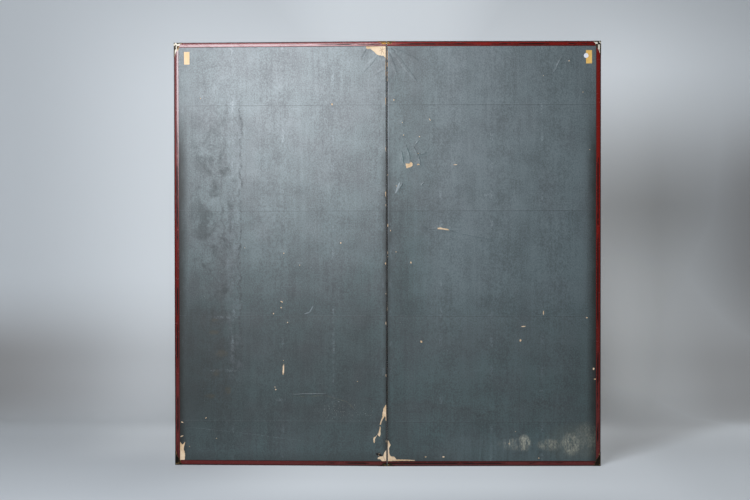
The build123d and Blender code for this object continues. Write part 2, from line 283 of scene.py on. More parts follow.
def make_streak():
    """A soft stroke between two points on the face of the screen."""
    takes = {"Place": (0, 0, 0), "Start": (0, 0, 0), "End": (0, 0, 1)}
    takes |= {"Half width": 0.002, "Wander": 0.0}
    group, given, way_out = new_group("Streak between two points", takes, ["Mask"])

    def vector(operation, *values, output=0):
        return add("VectorMath", dict(enumerate(values)), output, operation=operation)

    shaky = add("TexNoise", {"Vector": given["Place"], "Scale": 60.0, "Detail": 3.0}, "Color")
    offset = vector("SUBTRACT", shaky, (0.5, 0.5, 0.5))
    drift = add("VectorMath", {0: offset, "Scale": given["Wander"]}, operation="SCALE")
    drawn = vector("ADD", given["Place"], drift)
    face = (1.0, 0.0, 1.0)
    run = vector("MULTIPLY", vector("SUBTRACT", given["End"], given["Start"]), face)
    away = vector("MULTIPLY", vector("SUBTRACT", drawn, given["Start"]), face)
    dots = [vector("DOT_PRODUCT", pair, run, output=1) for pair in (away, run)]
    share = add("Math", dict(enumerate(dots)), operation="DIVIDE", use_clamp=True)
    along = add("VectorMath", {0: run, "Scale": share}, operation="SCALE")
    gap = vector("LENGTH", vector("SUBTRACT", away, along), output=1)
    thick = given["Half width"] * (0.4 + share * (1.0 - share) * 2.4)
    fill(way_out, {"Mask": 1.0 - ease(gap, thick * 0.35, thick)})
    return group


def make_fibres():
    """Laid lines, long fibres and flecks of handmade paper, as a height, and its mottling."""
    takes = {"Place": (0, 0, 0), "Coarseness": 1.0}
    group, given, way_out = new_group("Handmade paper", takes, ["Fibres", "Mottle"])
    place = add("VectorMath", {0: given["Place"], "Scale": given["Coarseness"]}, operation="SCALE")
    upright = clouds(place, 420.0, 3.0, (1, 1, 0.035))
    level = clouds(place, 300.0, 2.0, (0.05, 1, 1))
    speckle = clouds(place, 900.0, 2.0)
    fibres = upright * 0.6 + level * 0.25 + speckle * 0.2
    fill(way_out, {"Fibres": fibres, "Mottle": clouds(place, 14.0, 6.0, roughness=0.62)})
    return group


BAND, STREAK, FIBRES = make_band(), make_streak(), make_fibres()
print("shared effects:", [group.name for group in bpy.data.node_groups])

# %% [markdown]
# ## Slate-grey back paper
#
# The backs wear a dyed paper with a fine upright weave and a broad soft sheen. Everything that
# a century in a storehouse does to it is a mask over the place on the screen: dirt beside the
# frame and the fold, a ghost of the lattice where the paper rubs on the bars, the seams between
# the sheets, water stains with crackled edges, scratches, and a rubbed patch low on the right.
# Some masks paint light into the colour too: painted shade beside the frame, in the fold and low
# on the left, a painted highlight on the weave, and a painted sheen on the right panel.
# A painted picture of the stains would fix one size of detail; masks made of noise stay sharp
# from any distance, so each stain is written as where it lies and how ragged it is.
#
# Cycles can hold only so many values at once while it works out a material, and this one is near
# that limit. So the masks are taken in one by one, and not gathered first.

# %% Where things lie on the face
def strongest(masks):
    """The strongest of several masks at each place, taken in one by one."""
    total = None
    for mask in masks:
        total = mask if total is None else calc("MAXIMUM", total, mask)
    return total


def stroke_path(place, half_width, wander, *stops):
    """Streaks from each stop to the next, in millimetres across from the fold and up."""
    sizes = {"half_width": half_width * MM, "wander": wander * MM}
    spots = [(across * MM, 0.0, up * MM) for across, up in stops]
    return strongest(
        place_group(STREAK, place=place, start=start, end=end, **sizes)["Mask"]
        for start, end in zip(spots, spots[1:])
    )


def band(value, centre, half_width, softness):
    """1 along a line, in metres."""
    sizes = {"half_width": half_width, "softness": softness}
    return place_group(BAND, value=value, centre=centre, **sizes)["Mask"]


# %% [markdown]
# The lattice under the paper is three uprights and thirteen crossbars, evenly spaced. Its ghost
# is two folding distances: how far a place is from the nearest upright, and from the nearest
# crossbar. A modulo folds the whole width into one bay, so one line of arithmetic draws all
# the bars.

# %% The ghost of the lattice
upright_step, upright_start = 204.75 * MM, 13.5 * MM
crossbar_step, crossbar_start = 118.14 * MM, 32.9 * MM


def nearest_bar(value, start, step):
    """Distance to the nearest of evenly spaced bars."""
    return calc("PINGPONG", value - start, step / 2)


# %% [markdown]
# The paper's own colour comes first: two close slate tones in clouds, a little warmth here and
# there, and the weave, whose raised threads are painted lighter as a painted highlight. The bars
# rub the paper from behind, so the ghost of the lattice is lighter, in patches.

# %% Slate paper: colour, grain and mottling
slate, shader, place, parts = new_material("Slate paper")
x, z = parts["X"], parts["Z"]
from_fold = abs(x)
on_left = calc("LESS_THAN", x, 0.0)
on_right = calc("GREATER_THAN", x, 0.0)
fibre = place_group(FIBRES, Place=place)
weave = ease(fibre["Fibres"], 0.38, 0.66)
grain = clouds(place, 210.0, 3.0, (1, 1, 0.8), 0.8)
laid = clouds(place, 75.0, 4.0, (1, 1, 0.06), 0.6)
mottle = clouds(place, 7.0, 9.0, roughness=0.7)
tone = grain * 0.52 + (laid * 0.14 + mottle * 0.34)

teal, pale_teal = tint(3, 34, 36), tint(23, 63, 64)
colour = mixed(ease(tone, 0.437, 0.563), teal, pale_teal)
mauve = ease(clouds(place, 6.5, 2.0, (1, 1, 0.8), 0.5), 0.42, 0.66)
colour = mixed(mauve * 0.28, colour, tint(34, 36, 44))
# painted highlight: the raised threads of the weave are mixed lighter
colour = mixed(weave * 0.25, colour, tint(50, 68, 70))

# painted sheen: the right panel is mixed lighter, more so higher up, where the lamp's sheen spreads
painted_sheen_right = ease(x, 0.06, 0.3) * ease(z, 0.1, 1.0)
painted_sheen_right = painted_sheen_right * (0.25 + ease(tone, 0.4, 0.6) * 0.5)
colour = mixed(painted_sheen_right, colour, tint(78, 92, 96))

upright_gap = nearest_bar(from_fold, upright_start, upright_step)
crossbar_gap = nearest_bar(z, crossbar_start, crossbar_step)
over_bars = strongest(
    [band(upright_gap, 0.0, 3 * MM, 6 * MM), band(crossbar_gap, 0.0, 1 * MM, 6 * MM)]
)
rubbed = ease(clouds(place, 7.5, 7.0, roughness=0.72), 0.54, 0.72)
crossings = band(upright_gap, 0.0, 2.5 * MM, 5 * MM) * band(crossbar_gap, 0.0, 10 * MM, 16 * MM)
chosen = ease(clouds(place, 5.0, 2.0, roughness=0.5), 0.46, 0.54)
crossings = crossings * chosen * ease(grain, 0.36, 0.6)
ghost = strongest([over_bars * rubbed, crossings * 1.9])
colour = mixed(ghost * 0.085, colour, tint(150, 164, 170))

# %% [markdown]
# Dirt and handling darken the paper beside the frame, along the fold and at the foot, and more so
# lower down, where hands and the floor are nearer. Beside the frame the dark band is also painted
# shade of the raised frame. The lower left of the left panel is painted darker as painted shade,
# where the lamp's sheen falls off, and the right panel is darker beside the fold and low down. The
# fold itself is painted nearly black, as painted shade of the gap between the panels, and a narrow
# strip beside it is rubbed pale. The seams between the sheets of the facing show as thin lines,
# because the paste there is double.

# %% Slate paper: dirt and painted shade beside the frame, the fold and the seams
olive = tint(17, 18, 12)
soot = tint(8, 8, 8)
lower = ease(z, 1.52, 1.22)
ragged_edge = (clouds(place, 14.0, 7.0, roughness=0.7) - 0.5) * (40 * MM)
frame_side = from_fold + ragged_edge
# beside the frame: dirt, and painted shade of the raised frame on the paper
stile_dirt_and_shade = ease(frame_side, 0.772, 0.846)
stile_dirt_and_shade = stile_dirt_and_shade * stile_dirt_and_shade * (0.12 + lower * 0.84)
fold_side = from_fold + ragged_edge * 0.5
fold_dirt = ease(fold_side, 30 * MM, 3 * MM)
fold_dirt = fold_dirt * (0.06 + ease(z, 1.42, 1.15) * 0.5)
foot_side = z - ragged_edge * 2.0
hazy = ease(x, 0.2, 0.36) * ease(x, 0.86, 0.8)
foot_dirt = ease(foot_side, 90 * MM, 15 * MM) * (0.4 - hazy * 0.4)
# painted shade: the lower left panel is darker and duller where the lamp's sheen falls off
low_left_shade = 0.41 + ease(x, -0.5, -0.8) * 0.22
low_left_shade = low_left_shade * ease(x, 0.1, -0.1) * ease(z, 0.95, 0.5) * ease(z, -0.05, 0.28)
# darker beside the fold and low down on the right panel
beside_right = band(x, 50 * MM, 20 * MM, 55 * MM) * ease(z, 1.0, 0.72) * 0.26
low_right = on_right * ease(z, 0.72, 0.52) * ease(z, 0.12, 0.3) * 0.2
dirt_and_shade = strongest([stile_dirt_and_shade, fold_dirt, foot_dirt, low_left_shade, beside_right, low_right])
colour = mixed(dirt_and_shade, colour, olive)
foot_haze = hazy * ease(foot_side, 150 * MM, 95 * MM) * ease(laid, 0.22, 0.74) * 0.2
colour = mixed(foot_haze, colour, tint(100, 118, 122))

smudged = ease(clouds(place, 70.0, 5.0, (1, 1, 0.25), 0.7), 0.3, 0.52)
# painted shade: the gap of the fold is painted nearly black on the paper, smudged, with brownish flakes near
# the top
painted_fold_shade = band(from_fold, 0.0, 2.8 * MM, 2.0 * MM)
painted_fold_shade = painted_fold_shade * (0.72 + smudged * 0.26)
flaking = ease(clouds(place, 130.0, 4.0, (1, 1, 0.5), 0.7), 0.42, 0.56) * ease(z, 1.55, 1.62)
colour = mixed(painted_fold_shade, colour, mixed(flaking, soot, tint(176, 128, 66)))
beside_fold = band(x, 7.0 * MM, 1.4 * MM, 1.6 * MM) * ease(z, 0.7, 1.3) * 0.12
colour = mixed(beside_fold, colour, tint(170, 172, 184))
stains_and_shade = strongest([dirt_and_shade, painted_fold_shade])

sheet_height, first_seam = 428 * MM, 179 * MM
seam_place = z + ragged_edge * 0.06
seam = band(nearest_bar(seam_place, first_seam, sheet_height), 0.0, 0.5 * MM, 1.8 * MM)
seam = seam * ease(mottle, 0.34, 0.5) * 0.34
colour = mixed(seam, colour, soot)
seam_above = seam_place - 3.5 * MM
lapped = band(nearest_bar(seam_above, first_seam, sheet_height), 0.0, 0.6 * MM, 2 * MM)
colour = mixed(lapped * ease(mottle, 0.36, 0.54) * 0.05, colour, tint(150, 160, 166))
row = calc("FLOOR", (seam_place - first_seam) / sheet_height)
sheet_cell = add("CombineXYZ", {0: on_left, 1: row})
sheet_tone = add("TexWhiteNoise", {"Vector": sheet_cell}, "Value", noise_dimensions="2D")
sheet_tone = (sheet_tone - 0.5) * 0.12
stains_and_shade = strongest([stains_and_shade, seam])

# %% [markdown]
# Water has run down inside the left panel and stopped at an upright line. Where it stopped it
# left a dark, crackled edge, and cloudy patches behind it. The edge is a band whose centre is
# pushed about by noise of two sizes.

# %% Slate paper: water stains
def patch(across, up, half_wide, half_high):
    """A soft oval patch, in millimetres."""
    away_x = (x - across * MM) / (half_wide * MM)
    away_z = (z - up * MM) / (half_high * MM)
    return ease(away_x * away_x + away_z * away_z, 1.0, 0.1)


wander = clouds(place, 12.0, 9.0, (0.35, 1, 1), 0.82)
shift = (wander - 0.5) * (85 * MM)
broken = ease(clouds(place, 40.0, 6.0, roughness=0.78), 0.42, 0.62)
line_place = x + shift
water_line = band(line_place, -594 * MM, 1.2 * MM, 5 * MM)
inner_place = x + shift * 1.5
inner_line = band(inner_place, -670 * MM, 1.5 * MM, 7 * MM)
inner_line = inner_line * ease(z, 1.2, 1.05) * 0.8
water_reach = ease(z, 0.3, 0.42) * ease(z, 1.55, 1.44) * on_left
crackle = 0.25 + broken * 0.75
water_edge = strongest([water_line, inner_line]) * water_reach * crackle * 0.68
colour = mixed(water_edge, colour, tint(8, 14, 14))

stained = x + shift * 1.2
behind = ease(stained, -0.6, -0.655) * ease(x, -0.86, -0.73) * on_left
patches = ease(clouds(place, 11.0, 9.0, (1, 1, 0.8), 0.72, 0.6), 0.46, 0.6)
cloud_reach = ease(z, 0.16, 0.34) * ease(z, 1.55, 1.25)
damp = behind * cloud_reach * (0.06 + patches * 0.5)
colour = mixed(damp, colour, tint(10, 18, 16))
stains_and_shade = strongest([stains_and_shade, water_edge, damp])
dried = band(line_place, -622 * MM, 14 * MM, 24 * MM)
dried = dried * water_reach * ease(clouds(place, 24.0, 8.0, roughness=0.75), 0.44, 0.62)
colour = mixed(dried * 0.065, colour, tint(170, 178, 186))

RUST_SPOTS = [(-700, 592, 18, 9), (-704, 542, 26, 13), (-673, 456, 32, 19), (-696, 377, 20, 17),
              (-646, 307, 17, 22), (-720, 282, 30, 12)]
rusty = ease(clouds(place, 40.0, 6.0, roughness=0.7), 0.36, 0.56)
rust = strongest(patch(*rust_spot) for rust_spot in RUST_SPOTS) * rusty * 0.8
colour = mixed(rust, colour, tint(42, 40, 24))
stains_and_shade = strongest([stains_and_shade, rust * 0.6])

# %% [markdown]
# Lower down on both panels the water rose from the floor and dried in a long wavy line, which
# turns up at the right. Below it the paper is a touch darker.

# %% Slate paper: the tide line at the foot
tide_noise = clouds(place, 4.2, 9.0, (1, 1, 0.25), 0.66)
rise = (tide_noise - 0.5) * (220 * MM)
tide_height = z + rise
tide_line = band(tide_height, 250 * MM, 1 * MM, 11 * MM)
tide_ends = ease(x, -0.16, -0.06) * ease(x, 0.735, 0.7)
tide_edge = tide_line * tide_ends * (0.08 + broken * 0.3)
up_turn = band(x + shift * 0.4, 715 * MM, 0.8 * MM, 7 * MM)
up_reach = ease(z, 0.27, 0.32) * ease(z, 0.63, 0.52)
tide_edge = strongest([tide_edge, up_turn * up_reach * broken * 0.4])
colour = mixed(tide_edge, colour, tint(16, 17, 15))
beside_tears = [(-109, 280), (-8, 262)], [(6, 216), (62, 219), (138, 221)]
dark_edge = strongest(stroke_path(place, 4.0, 7.0, *stops) for stops in beside_tears)
dark_edge = dark_edge * (0.35 + broken * 0.65) * 0.55
colour = mixed(dark_edge, colour, tint(30, 24, 32))
stains_and_shade = strongest([stains_and_shade, dark_edge])
below_tide = ease(tide_height, 262 * MM, 232 * MM) * 0.16
colour = mixed(below_tide, colour, tint(12, 22, 22))
stains_and_shade = strongest([stains_and_shade, tide_edge, below_tide])

# %% [markdown]
# Low on the right the dye is rubbed off the threads of the weave, down to the pale paper. Rubbing
# follows the weave, so the mask is stretched noise at the size of the threads, kept to a few
# patches.

# %% Slate paper: the rubbed patch
threads = ease(clouds(place, 260.0, 4.0, (1, 1, 0.35), 0.75), 0.43, 0.57)
WORN_PATCHES = [(745, 90, 46, 56, 1.0), (660, 86, 60, 28, 0.7), (556, 94, 30, 40, 1.0),
                (520, 90, 80, 30, 0.4), (805, 110, 60, 80, 0.35)]
worn_patches = strongest(patch(*oval) * share for *oval, share in WORN_PATCHES)
thin_spots = ease(clouds(place, 38.0, 7.0, (1, 1, 0.6), 0.78), 0.4, 0.57)
bare = worn_patches * (0.22 + threads * 0.78) * thin_spots
rubs = [
    stroke_path(place, 2.4, 2.0, (496, 108), (498, 80)),
    stroke_path(place, 3.6, 3.0, (553, 112), (556, 66)),
]
bare = strongest([bare, strongest(rubs) * 0.7])
colour = mixed(bare * 0.74, colour, tint(192, 188, 166))
haze = patch(across=760, up=95, half_wide=150, half_high=95) * 0.3
colour = mixed(haze, colour, tint(74, 78, 68))

# %% [markdown]
# Scuffs and scratches are streaks between points. They are pale where the surface is only
# rubbed. The longest scratch runs across the foot of the left panel, and the rest mostly follow
# the bars behind the paper, which hold it up against whatever brushes past.

# %% Slate paper: scuffs and scratches
LEVEL_SCUFFS = [(-683, 1335, -590), (-726, 603, -606), (-720, 386, -604), (-455, 268, -412),
                (395, 1098, 432), (615, 306, 640)]
UPRIGHT_SCUFFS = [(-627, 1503, 1414), (-626, 1210, 1160), (-421, 1370, 1310), (-423, 1125, 1070),
                  (-622, 636, 596), (-217, 640, 340), (-628, 530, 436), (425, 1002, 976)]
scuff_ends = [((start, up), (end, up)) for start, up, end in LEVEL_SCUFFS]
scuff_ends += [((across, top), (across, end)) for across, top, end in UPRIGHT_SCUFFS]
scuffs = strongest(stroke_path(place, 8.5, 8.0, *ends) for ends in scuff_ends)
long_scratch = stroke_path(place, 1.6, 2.0, (-806, 154), (-640, 138), (-342, 102))
curved_scratch = stroke_path(place, 3.4, 0.0, (-334, 618), (-314, 624), (-299, 650))
cracked = stroke_path(place, 1.6, 3.0, (-384, 282), (-249, 286), (-163, 262), (-135, 235))
smear = stroke_path(place, 6.0, 3.0, (36, 1108), (52, 1148))
uneven = 0.25 + ease(grain, 0.4, 0.62) * 0.75
blotchy = ease(clouds(place, 30.0, 7.0, roughness=0.78), 0.4, 0.62)
pale = scuffs * uneven * blotchy * 0.13
pale = strongest([pale, long_scratch * uneven * 0.1, curved_scratch * 0.2, smear * 0.3])
colour = mixed(pale, colour, tint(180, 192, 198))
colour = mixed(cracked * broken * 0.16, colour, tint(190, 170, 110))
dusty_spot = patch(across=-165, up=225, half_wide=170, half_high=70)
speck_start = 0.765 - dusty_spot * 0.1
# painted shade: the hollow behind the small tear low beside the fold is painted nearly black
painted_hole_shade = stroke_path(place, 10.0, 2.0, (-44, 51), (-22, 44))
colour = mixed(painted_hole_shade, colour, tint(6, 5, 4))
stains_and_shade = strongest([stains_and_shade, painted_hole_shade])
speckle = clouds(place, 300.0, 2.0) - speck_start
white_specks = ease(speckle, 0.0, 0.035) * 0.5
colour = mixed(white_specks, colour, tint(196, 200, 196))

# %% [markdown]
# Round the tears the paper is creased. A crease is a low ridge, far too narrow for the grid of
# the sheet, so it is drawn with the same streaks as the scratches and goes into the relief of
# the surface.

# %% Slate paper: creases
CREASES = [
    ((61, 1274), (70, 1211)), ((79, 1301), (98, 1235)), ((108, 1295), (129, 1256)),
    ((129, 1256), (137, 1222)), ((130, 1319), (117, 1303)), ((138, 1263), (162, 1270)),
    ((65, 1148), (51, 1124)), ((143, 978), (165, 961)), ((165, 961), (206, 964)),
    ((254, 957), (289, 945)), ((289, 945), (425, 919)), ((709, 1656), (684, 1613)),
    ((690, 1612), (672, 1592)), ((-82, 1688), (-100, 1655)), ((14, 1692), (34, 1676)),
    ((151, 1150), (138, 1134)), ((-384, 290), (-249, 292)),
]
SOFT_CREASES = [
    ((6, 1688), (66, 1636)), ((30, 1690), (128, 1640)), ((10, 1668), (40, 1590)),
    ((-36, 1664), (-92, 1600)), ((-6, 1612), (-44, 1588)), ((40, 1656), (120, 1560)),
]
ridges = strongest(stroke_path(place, 3.6, 3.0, *ends) for ends in CREASES)
pulls = strongest(stroke_path(place, 9.0, 4.0, *ends) for ends in SOFT_CREASES)
print("creases:", len(CREASES), "and soft ones:", len(SOFT_CREASES))

# %% [markdown]
# The sheen of this paper is broad and even, and it is what makes the upper left so much lighter
# than the foot. That is a fairly rough surface with a strong reflection, not a pale colour. Most
# of it is the glaze of the size that was brushed over the dye, so it is a coat, and wherever dirt
# or water has been, and where shade is painted, the coat is thinner. Grain, laid lines and
# mottling thin it a little too. On the right panel a little of the sheen is painted into the colour.

# %% Slate paper: sheen and relief
fill(shader, {
    "Base Color": colour,
    "Roughness": 0.52 - (tone - 0.5) * 0.3,
    "Specular IOR Level": (1.0 - painted_fold_shade) * 0.5,
})
past_fold = ease(x, 0.0, 0.25)
glaze = 0.68 + past_fold * 0.13
glaze = glaze + (tone - 0.5) * 2.1
glaze = glaze + sheet_tone + pale * 0.8
glaze = glaze * (1.0 - stains_and_shade)
coat = add("Clamp", {"Value": glaze})
fill(shader, {"Coat Weight": coat, "Coat Roughness": 0.457, "Coat IOR": 1.86})

fine = bump(fibre["Fibres"], 0.1 * MM, 0.35)
cockle = clouds(place, 22.0, 4.0, (1, 1, 0.6), 0.6)
damp_relief = bump(cockle, 0.7 * MM, 0.4, below=fine)
pulled = bump(pulls, 0.8 * MM, 0.3, below=damp_relief)
creased = bump(ridges, 0.8 * MM, 0.6, below=pulled)
fill(shader, {"Normal": creased, "Coat Normal": creased})
print("slate paper has", len(slate.node_tree.nodes), "nodes")

# %% [markdown]
# ## Cream under-paper
#
# Under the dyed facing lie layers of reused handmade paper, with tan strands in them. They are
# seen only through the tears, but there they are the brightest thing on the backs.

# %% Cream paper
WRINKLES = [
    ((-26, 1694), (-10, 1668)), ((-16, 1696), (-22, 1664)), ((-30, 1680), (-6, 1690)),
    ((-20, 60), (-8, 20)),
]


def make_cream_paper(name, light, dark):
    """Layered handmade paper with long fibres, faint creases and painted shade at the fold."""
    material, shader, place, parts = new_material(name)
    fibre = place_group(FIBRES, Place=place, Coarseness=1.4)
    colour = mixed(ease(fibre["Mottle"], 0.32, 0.68), light, dark)
    strands = ease(clouds(place, 210.0, 4.0, (0.3, 1, 1), 0.7, 0.6), 0.6, 0.72)
    colour = mixed(strands * 0.4, colour, tint(150, 120, 84))
    # painted shade: darker lines along the wrinkles
    wrinkled = strongest(stroke_path(place, 2.2, 3.0, *ends) for ends in WRINKLES)
    colour = mixed(wrinkled * 0.55, colour, tint(140, 106, 78))
    # painted shade: the hollow behind the small tear low beside the fold is painted nearly black
    painted_hole_shade = stroke_path(place, 6.0, 1.0, (-52, 49), (-33, 47.5), (-18, 43))
    colour = mixed(ease(painted_hole_shade, 0.02, 0.2), colour, tint(10, 8, 7))
    from_fold = abs(parts["X"])
    # painted shade: within a few millimetres of the fold the paper is painted nearly black, in streaks
    darkened = band(from_fold, 0.0, 2.2 * MM, 2.4 * MM)
    streaky = ease(clouds(place, 50.0, 4.0, (1, 1, 0.2), 0.6), 0.66, 0.6)
    colour = mixed(darkened * streaky, colour, tint(22, 18, 15))
    fill(shader, {
        "Base Color": colour,
        "Roughness": 0.85,
        "Normal": bump(fibre["Fibres"], 0.25 * MM, 0.5),
    })
    return material


cream_paper = make_cream_paper("Cream under-paper", tint(236, 210, 178), tint(206, 172, 130))
# painted shade: this hinge paper is made dark brown to stand for the shade in the gap of the fold
shaded_hinge_paper = make_cream_paper("Old hinge paper", tint(52, 44, 34), tint(26, 22, 18))
rubbed_gold_paper = make_cream_paper("Old hinge paper, rubbed", tint(150, 112, 62), tint(60, 44, 28))
# the bottom tuck takes the dark hinge paper too, as painted shade below the fold
tuck_papers = {"top": rubbed_gold_paper, "bottom": shaded_hinge_paper}
print("made", cream_paper.name + ",", shaded_hinge_paper.name, "and", rubbed_gold_paper.name)

# %% [markdown]
# ## Red over black lacquer
#
# The frame was lacquered black first and red on top. The red wears through along the crown of
# each bar, where hands and boxes rub, and at the outer corner. So the finish is two colours and
# one mask: a band along the crown, broken up by noise that is stretched along the bar. The red is
# also darker towards the bottom, nearly black at the outer edge, partly from wear and partly as
# painted shade, and darker at the inner edge as painted shade. Stiles and rails run in different
# directions, which is why there are two materials from one recipe.

# %% Lacquer
crown_from_side = 12.5 * MM
face_width = 20.5 * MM


def make_lacquer(name, along_z):
    """Worn red lacquer on bars that run up the panel or across it."""
    material, shader, place, parts = new_material(name)
    if along_z:
        outward = abs(parts["X"])
        side, stretch = panel_width, (1, 1, 0.03)
    else:
        outward = abs(parts["Z"] - middle_z)
        side, stretch = panel_height / 2, (0.03, 1, 1)
    long_noise = clouds(place, 160.0, 6.0, stretch, 0.6)
    lower_down = ease(parts["Z"], 1.45, 1.25)
    run_stretch = tuple(0.12 if part < 1 else 1 for part in stretch)
    worn_runs = clouds(place, 60.0, 7.0, run_stretch, 0.68)
    short_noise = clouds(place, 420.0, 5.0, (1, 1, 1), 0.7)
    crown = band(outward, side - crown_from_side, 1.8 * MM, 1.8 * MM)
    worn_end = lower_down if along_z else ease(parts["X"], -0.55, -0.05)
    crown_wear = crown * ease(worn_runs, 0.46, 0.52) * worn_end
    shoulder = band(outward, side - 1.2 * MM, 0.5 * MM, 1.8 * MM)
    shoulder_wear = shoulder * ease(long_noise, 0.4, 0.56)
    lip = band(outward, side - face_width, 0.4 * MM, 0.9 * MM)
    chips = ease(short_noise, 0.7, 0.74)
    wear = strongest([crown_wear, shoulder_wear, lip * 0.7, chips * 0.6])
    streaky = ease(clouds(place, 12.0, 5.0, stretch), 0.3, 0.7)
    red = mixed(streaky, tint(130, 18, 9), tint(100, 12, 6))
    # darker towards the bottom of the frame
    darkened = ease(parts["Z"], 1.35, 0.35) * 0.62
    red = mixed(darkened, red, tint(58, 6, 2))
    dusty = ease(clouds(place, 60.0, 5.0, (1, 1, 1), 0.65), 0.5, 0.8)
    red = mixed(dusty * 0.25, red, tint(96, 20, 18))
    # the outer edge is mixed nearly black: partly wear through to the black coat, partly painted shade of
    # the rounded edge
    rim = ease(outward, side - 6 * MM, side - 2.5 * MM)
    red = mixed(rim * 0.92, red, tint(22, 9, 8))
    # painted shade along the inner edge of the bar, next to the paper
    inner_edge_shade = ease(outward, side - face_width + 2.5 * MM, side - face_width + 0.5 * MM)
    red = mixed(inner_edge_shade * 0.7, red, tint(30, 9, 8))
    fill(shader, {"Base Color": mixed(wear, red, tint(22, 16, 14))})
    gloss = 0.23 + strongest([wear, dusty]) * 0.18
    fill(shader, {"Roughness": gloss})
    dull = strongest([wear * 0.42, rim * 0.36])
    fill(shader, {"Specular IOR Level": 0.5 - dull, "Coat Weight": 0.05, "Coat Roughness": 0.22})
    brush = bump(long_noise, 0.15 * MM, 0.3)
    fill(shader, {"Normal": bump(1.0 - wear, 0.08 * MM, 0.6, below=brush)})
    return material


stile_lacquer = make_lacquer("Red lacquer, upright", along_z=True)
rail_lacquer = make_lacquer("Red lacquer, level", along_z=False)
print("made", stile_lacquer.name, "and", rail_lacquer.name)

# %% [markdown]
# ## Metal: blackened brass and iron
#
# The corner fittings are sheet brass, blackened, and rubbed bright on their edges. A Bevel node
# looks for edges within a radius: where its rounded normal differs from the true one there is
# an edge, and that difference is the wear mask. It follows any shape without knowing its size.
# Near the top corners a pale line is painted along the crown as a painted highlight of the lamp.

# %% Metal
def edge_wear(radius):
    """1 on the edges of a shape, 0 on its faces."""
    normals = {0: add("Bevel", {"Radius": radius}, samples=4), 1: add("NewGeometry", output="Normal")}
    same = add("VectorMath", normals, "Value", operation="DOT_PRODUCT")
    return ease(same, 0.995, 0.9)


def make_metal(name, dark, bright, wear_start, roughness):
    """Blackened metal, bright at its worn edges, with a painted highlight near the top corners."""
    material, shader, place, parts = new_material(name)
    grain = clouds(place, 260.0, 6.0, roughness=0.7)
    blotch = clouds(place, 45.0, 5.0, roughness=0.6)
    wear = edge_wear(1.2 * MM) * ease(grain, wear_start, wear_start + 0.2)
    scuff = ease(blotch + grain * 0.3, 0.74, 0.88)
    wear = strongest([wear, scuff * 0.6])
    patina = mixed(ease(blotch, 0.35, 0.65), dark, tint(58, 44, 30))
    colour = mixed(wear, patina, bright)
    from_top = high_corner.z - parts["Z"]
    from_side = panel_width - abs(parts["X"])
    # painted highlight: a pale line along the crown near the top corners, where the lamp is reflected
    ridge = strongest([band(gap, 9 * MM, 3 * MM, 2 * MM) for gap in (from_top, from_side)])
    painted_highlight = ridge * ease(from_top, 90 * MM, 60 * MM) * ease(from_side, 0.3, 0.2)
    painted_highlight = painted_highlight * ease(blotch, 0.4, 0.5)
    colour = mixed(painted_highlight, colour, tint(226, 216, 196))
    fill(shader, {"Base Color": colour, "Metallic": (1.0 - painted_highlight) * 0.9})
    rough = roughness - wear * 0.14
    fill(shader, {"Roughness": rough, "Normal": bump(grain, 0.15 * MM, 0.5)})
    return material


brass = make_metal("Blackened brass", tint(26, 22, 19), tint(206, 164, 104), 0.34, 0.46)
rubbed_brass = make_metal("Rubbed brass", tint(120, 82, 36), tint(216, 168, 88), 0.20, 0.50)
dull_brass = make_metal("Dull brass", tint(18, 14, 12), tint(120, 84, 44), 0.50, 0.55)
tack_brass = make_metal("Tack brass", tint(70, 54, 34), tint(214, 178, 120), 0.20, 0.40)
iron = make_metal("Nail iron", tint(52, 46, 42), tint(110, 96, 84), 0.45, 0.60)
print("made", ", ".join(metal.name for metal in (brass, rubbed_brass, dull_brass, tack_brass, iron)))

# %% [markdown]
# ## Cedar
#
# The lattice is bare cedar, seen only at the ends of the fold and through tears. Straight grain
# is noise stretched along the bar, and bars run both ways, so there are two directions again.

# %% Cedar
def make_cedar(name, stretch):
    """Straight-grained cedar."""
    material, shader, place, parts = new_material(name)
    rings = clouds(place, 170.0, 4.0, stretch, 0.55, 0.3)
    pores = clouds(place, 900.0, 3.0, stretch)
    colour = mixed(ease(rings, 0.35, 0.65), tint(196, 152, 102), tint(160, 112, 70))
    colour = mixed(ease(pores, 0.5, 0.7) * 0.4, colour, tint(120, 82, 50))
    fill(shader, {"Base Color": colour, "Roughness": 0.7, "Normal": bump(rings, 0.2 * MM, 0.4)})
    return material


upright_cedar = make_cedar("Cedar, upright", (1, 1, 0.03))
level_cedar = make_cedar("Cedar, level", (0.03, 1, 1))
print("made", upright_cedar.name, "and", level_cedar.name)

# %% [markdown]
# ## Gold leaf
#
# The fronts are covered in squares of gold leaf, each about a hand wide and laid to overlap the
# last. A leaf is a cell of a grid: its row and column give it a tone of its own, and its edge,
# where two layers lie, is a brighter line. Old leaf is worn through to brown paper in hairlines.

# %% Gold leaf
leaf_size = 106 * MM
lap_width = 2.5 * MM


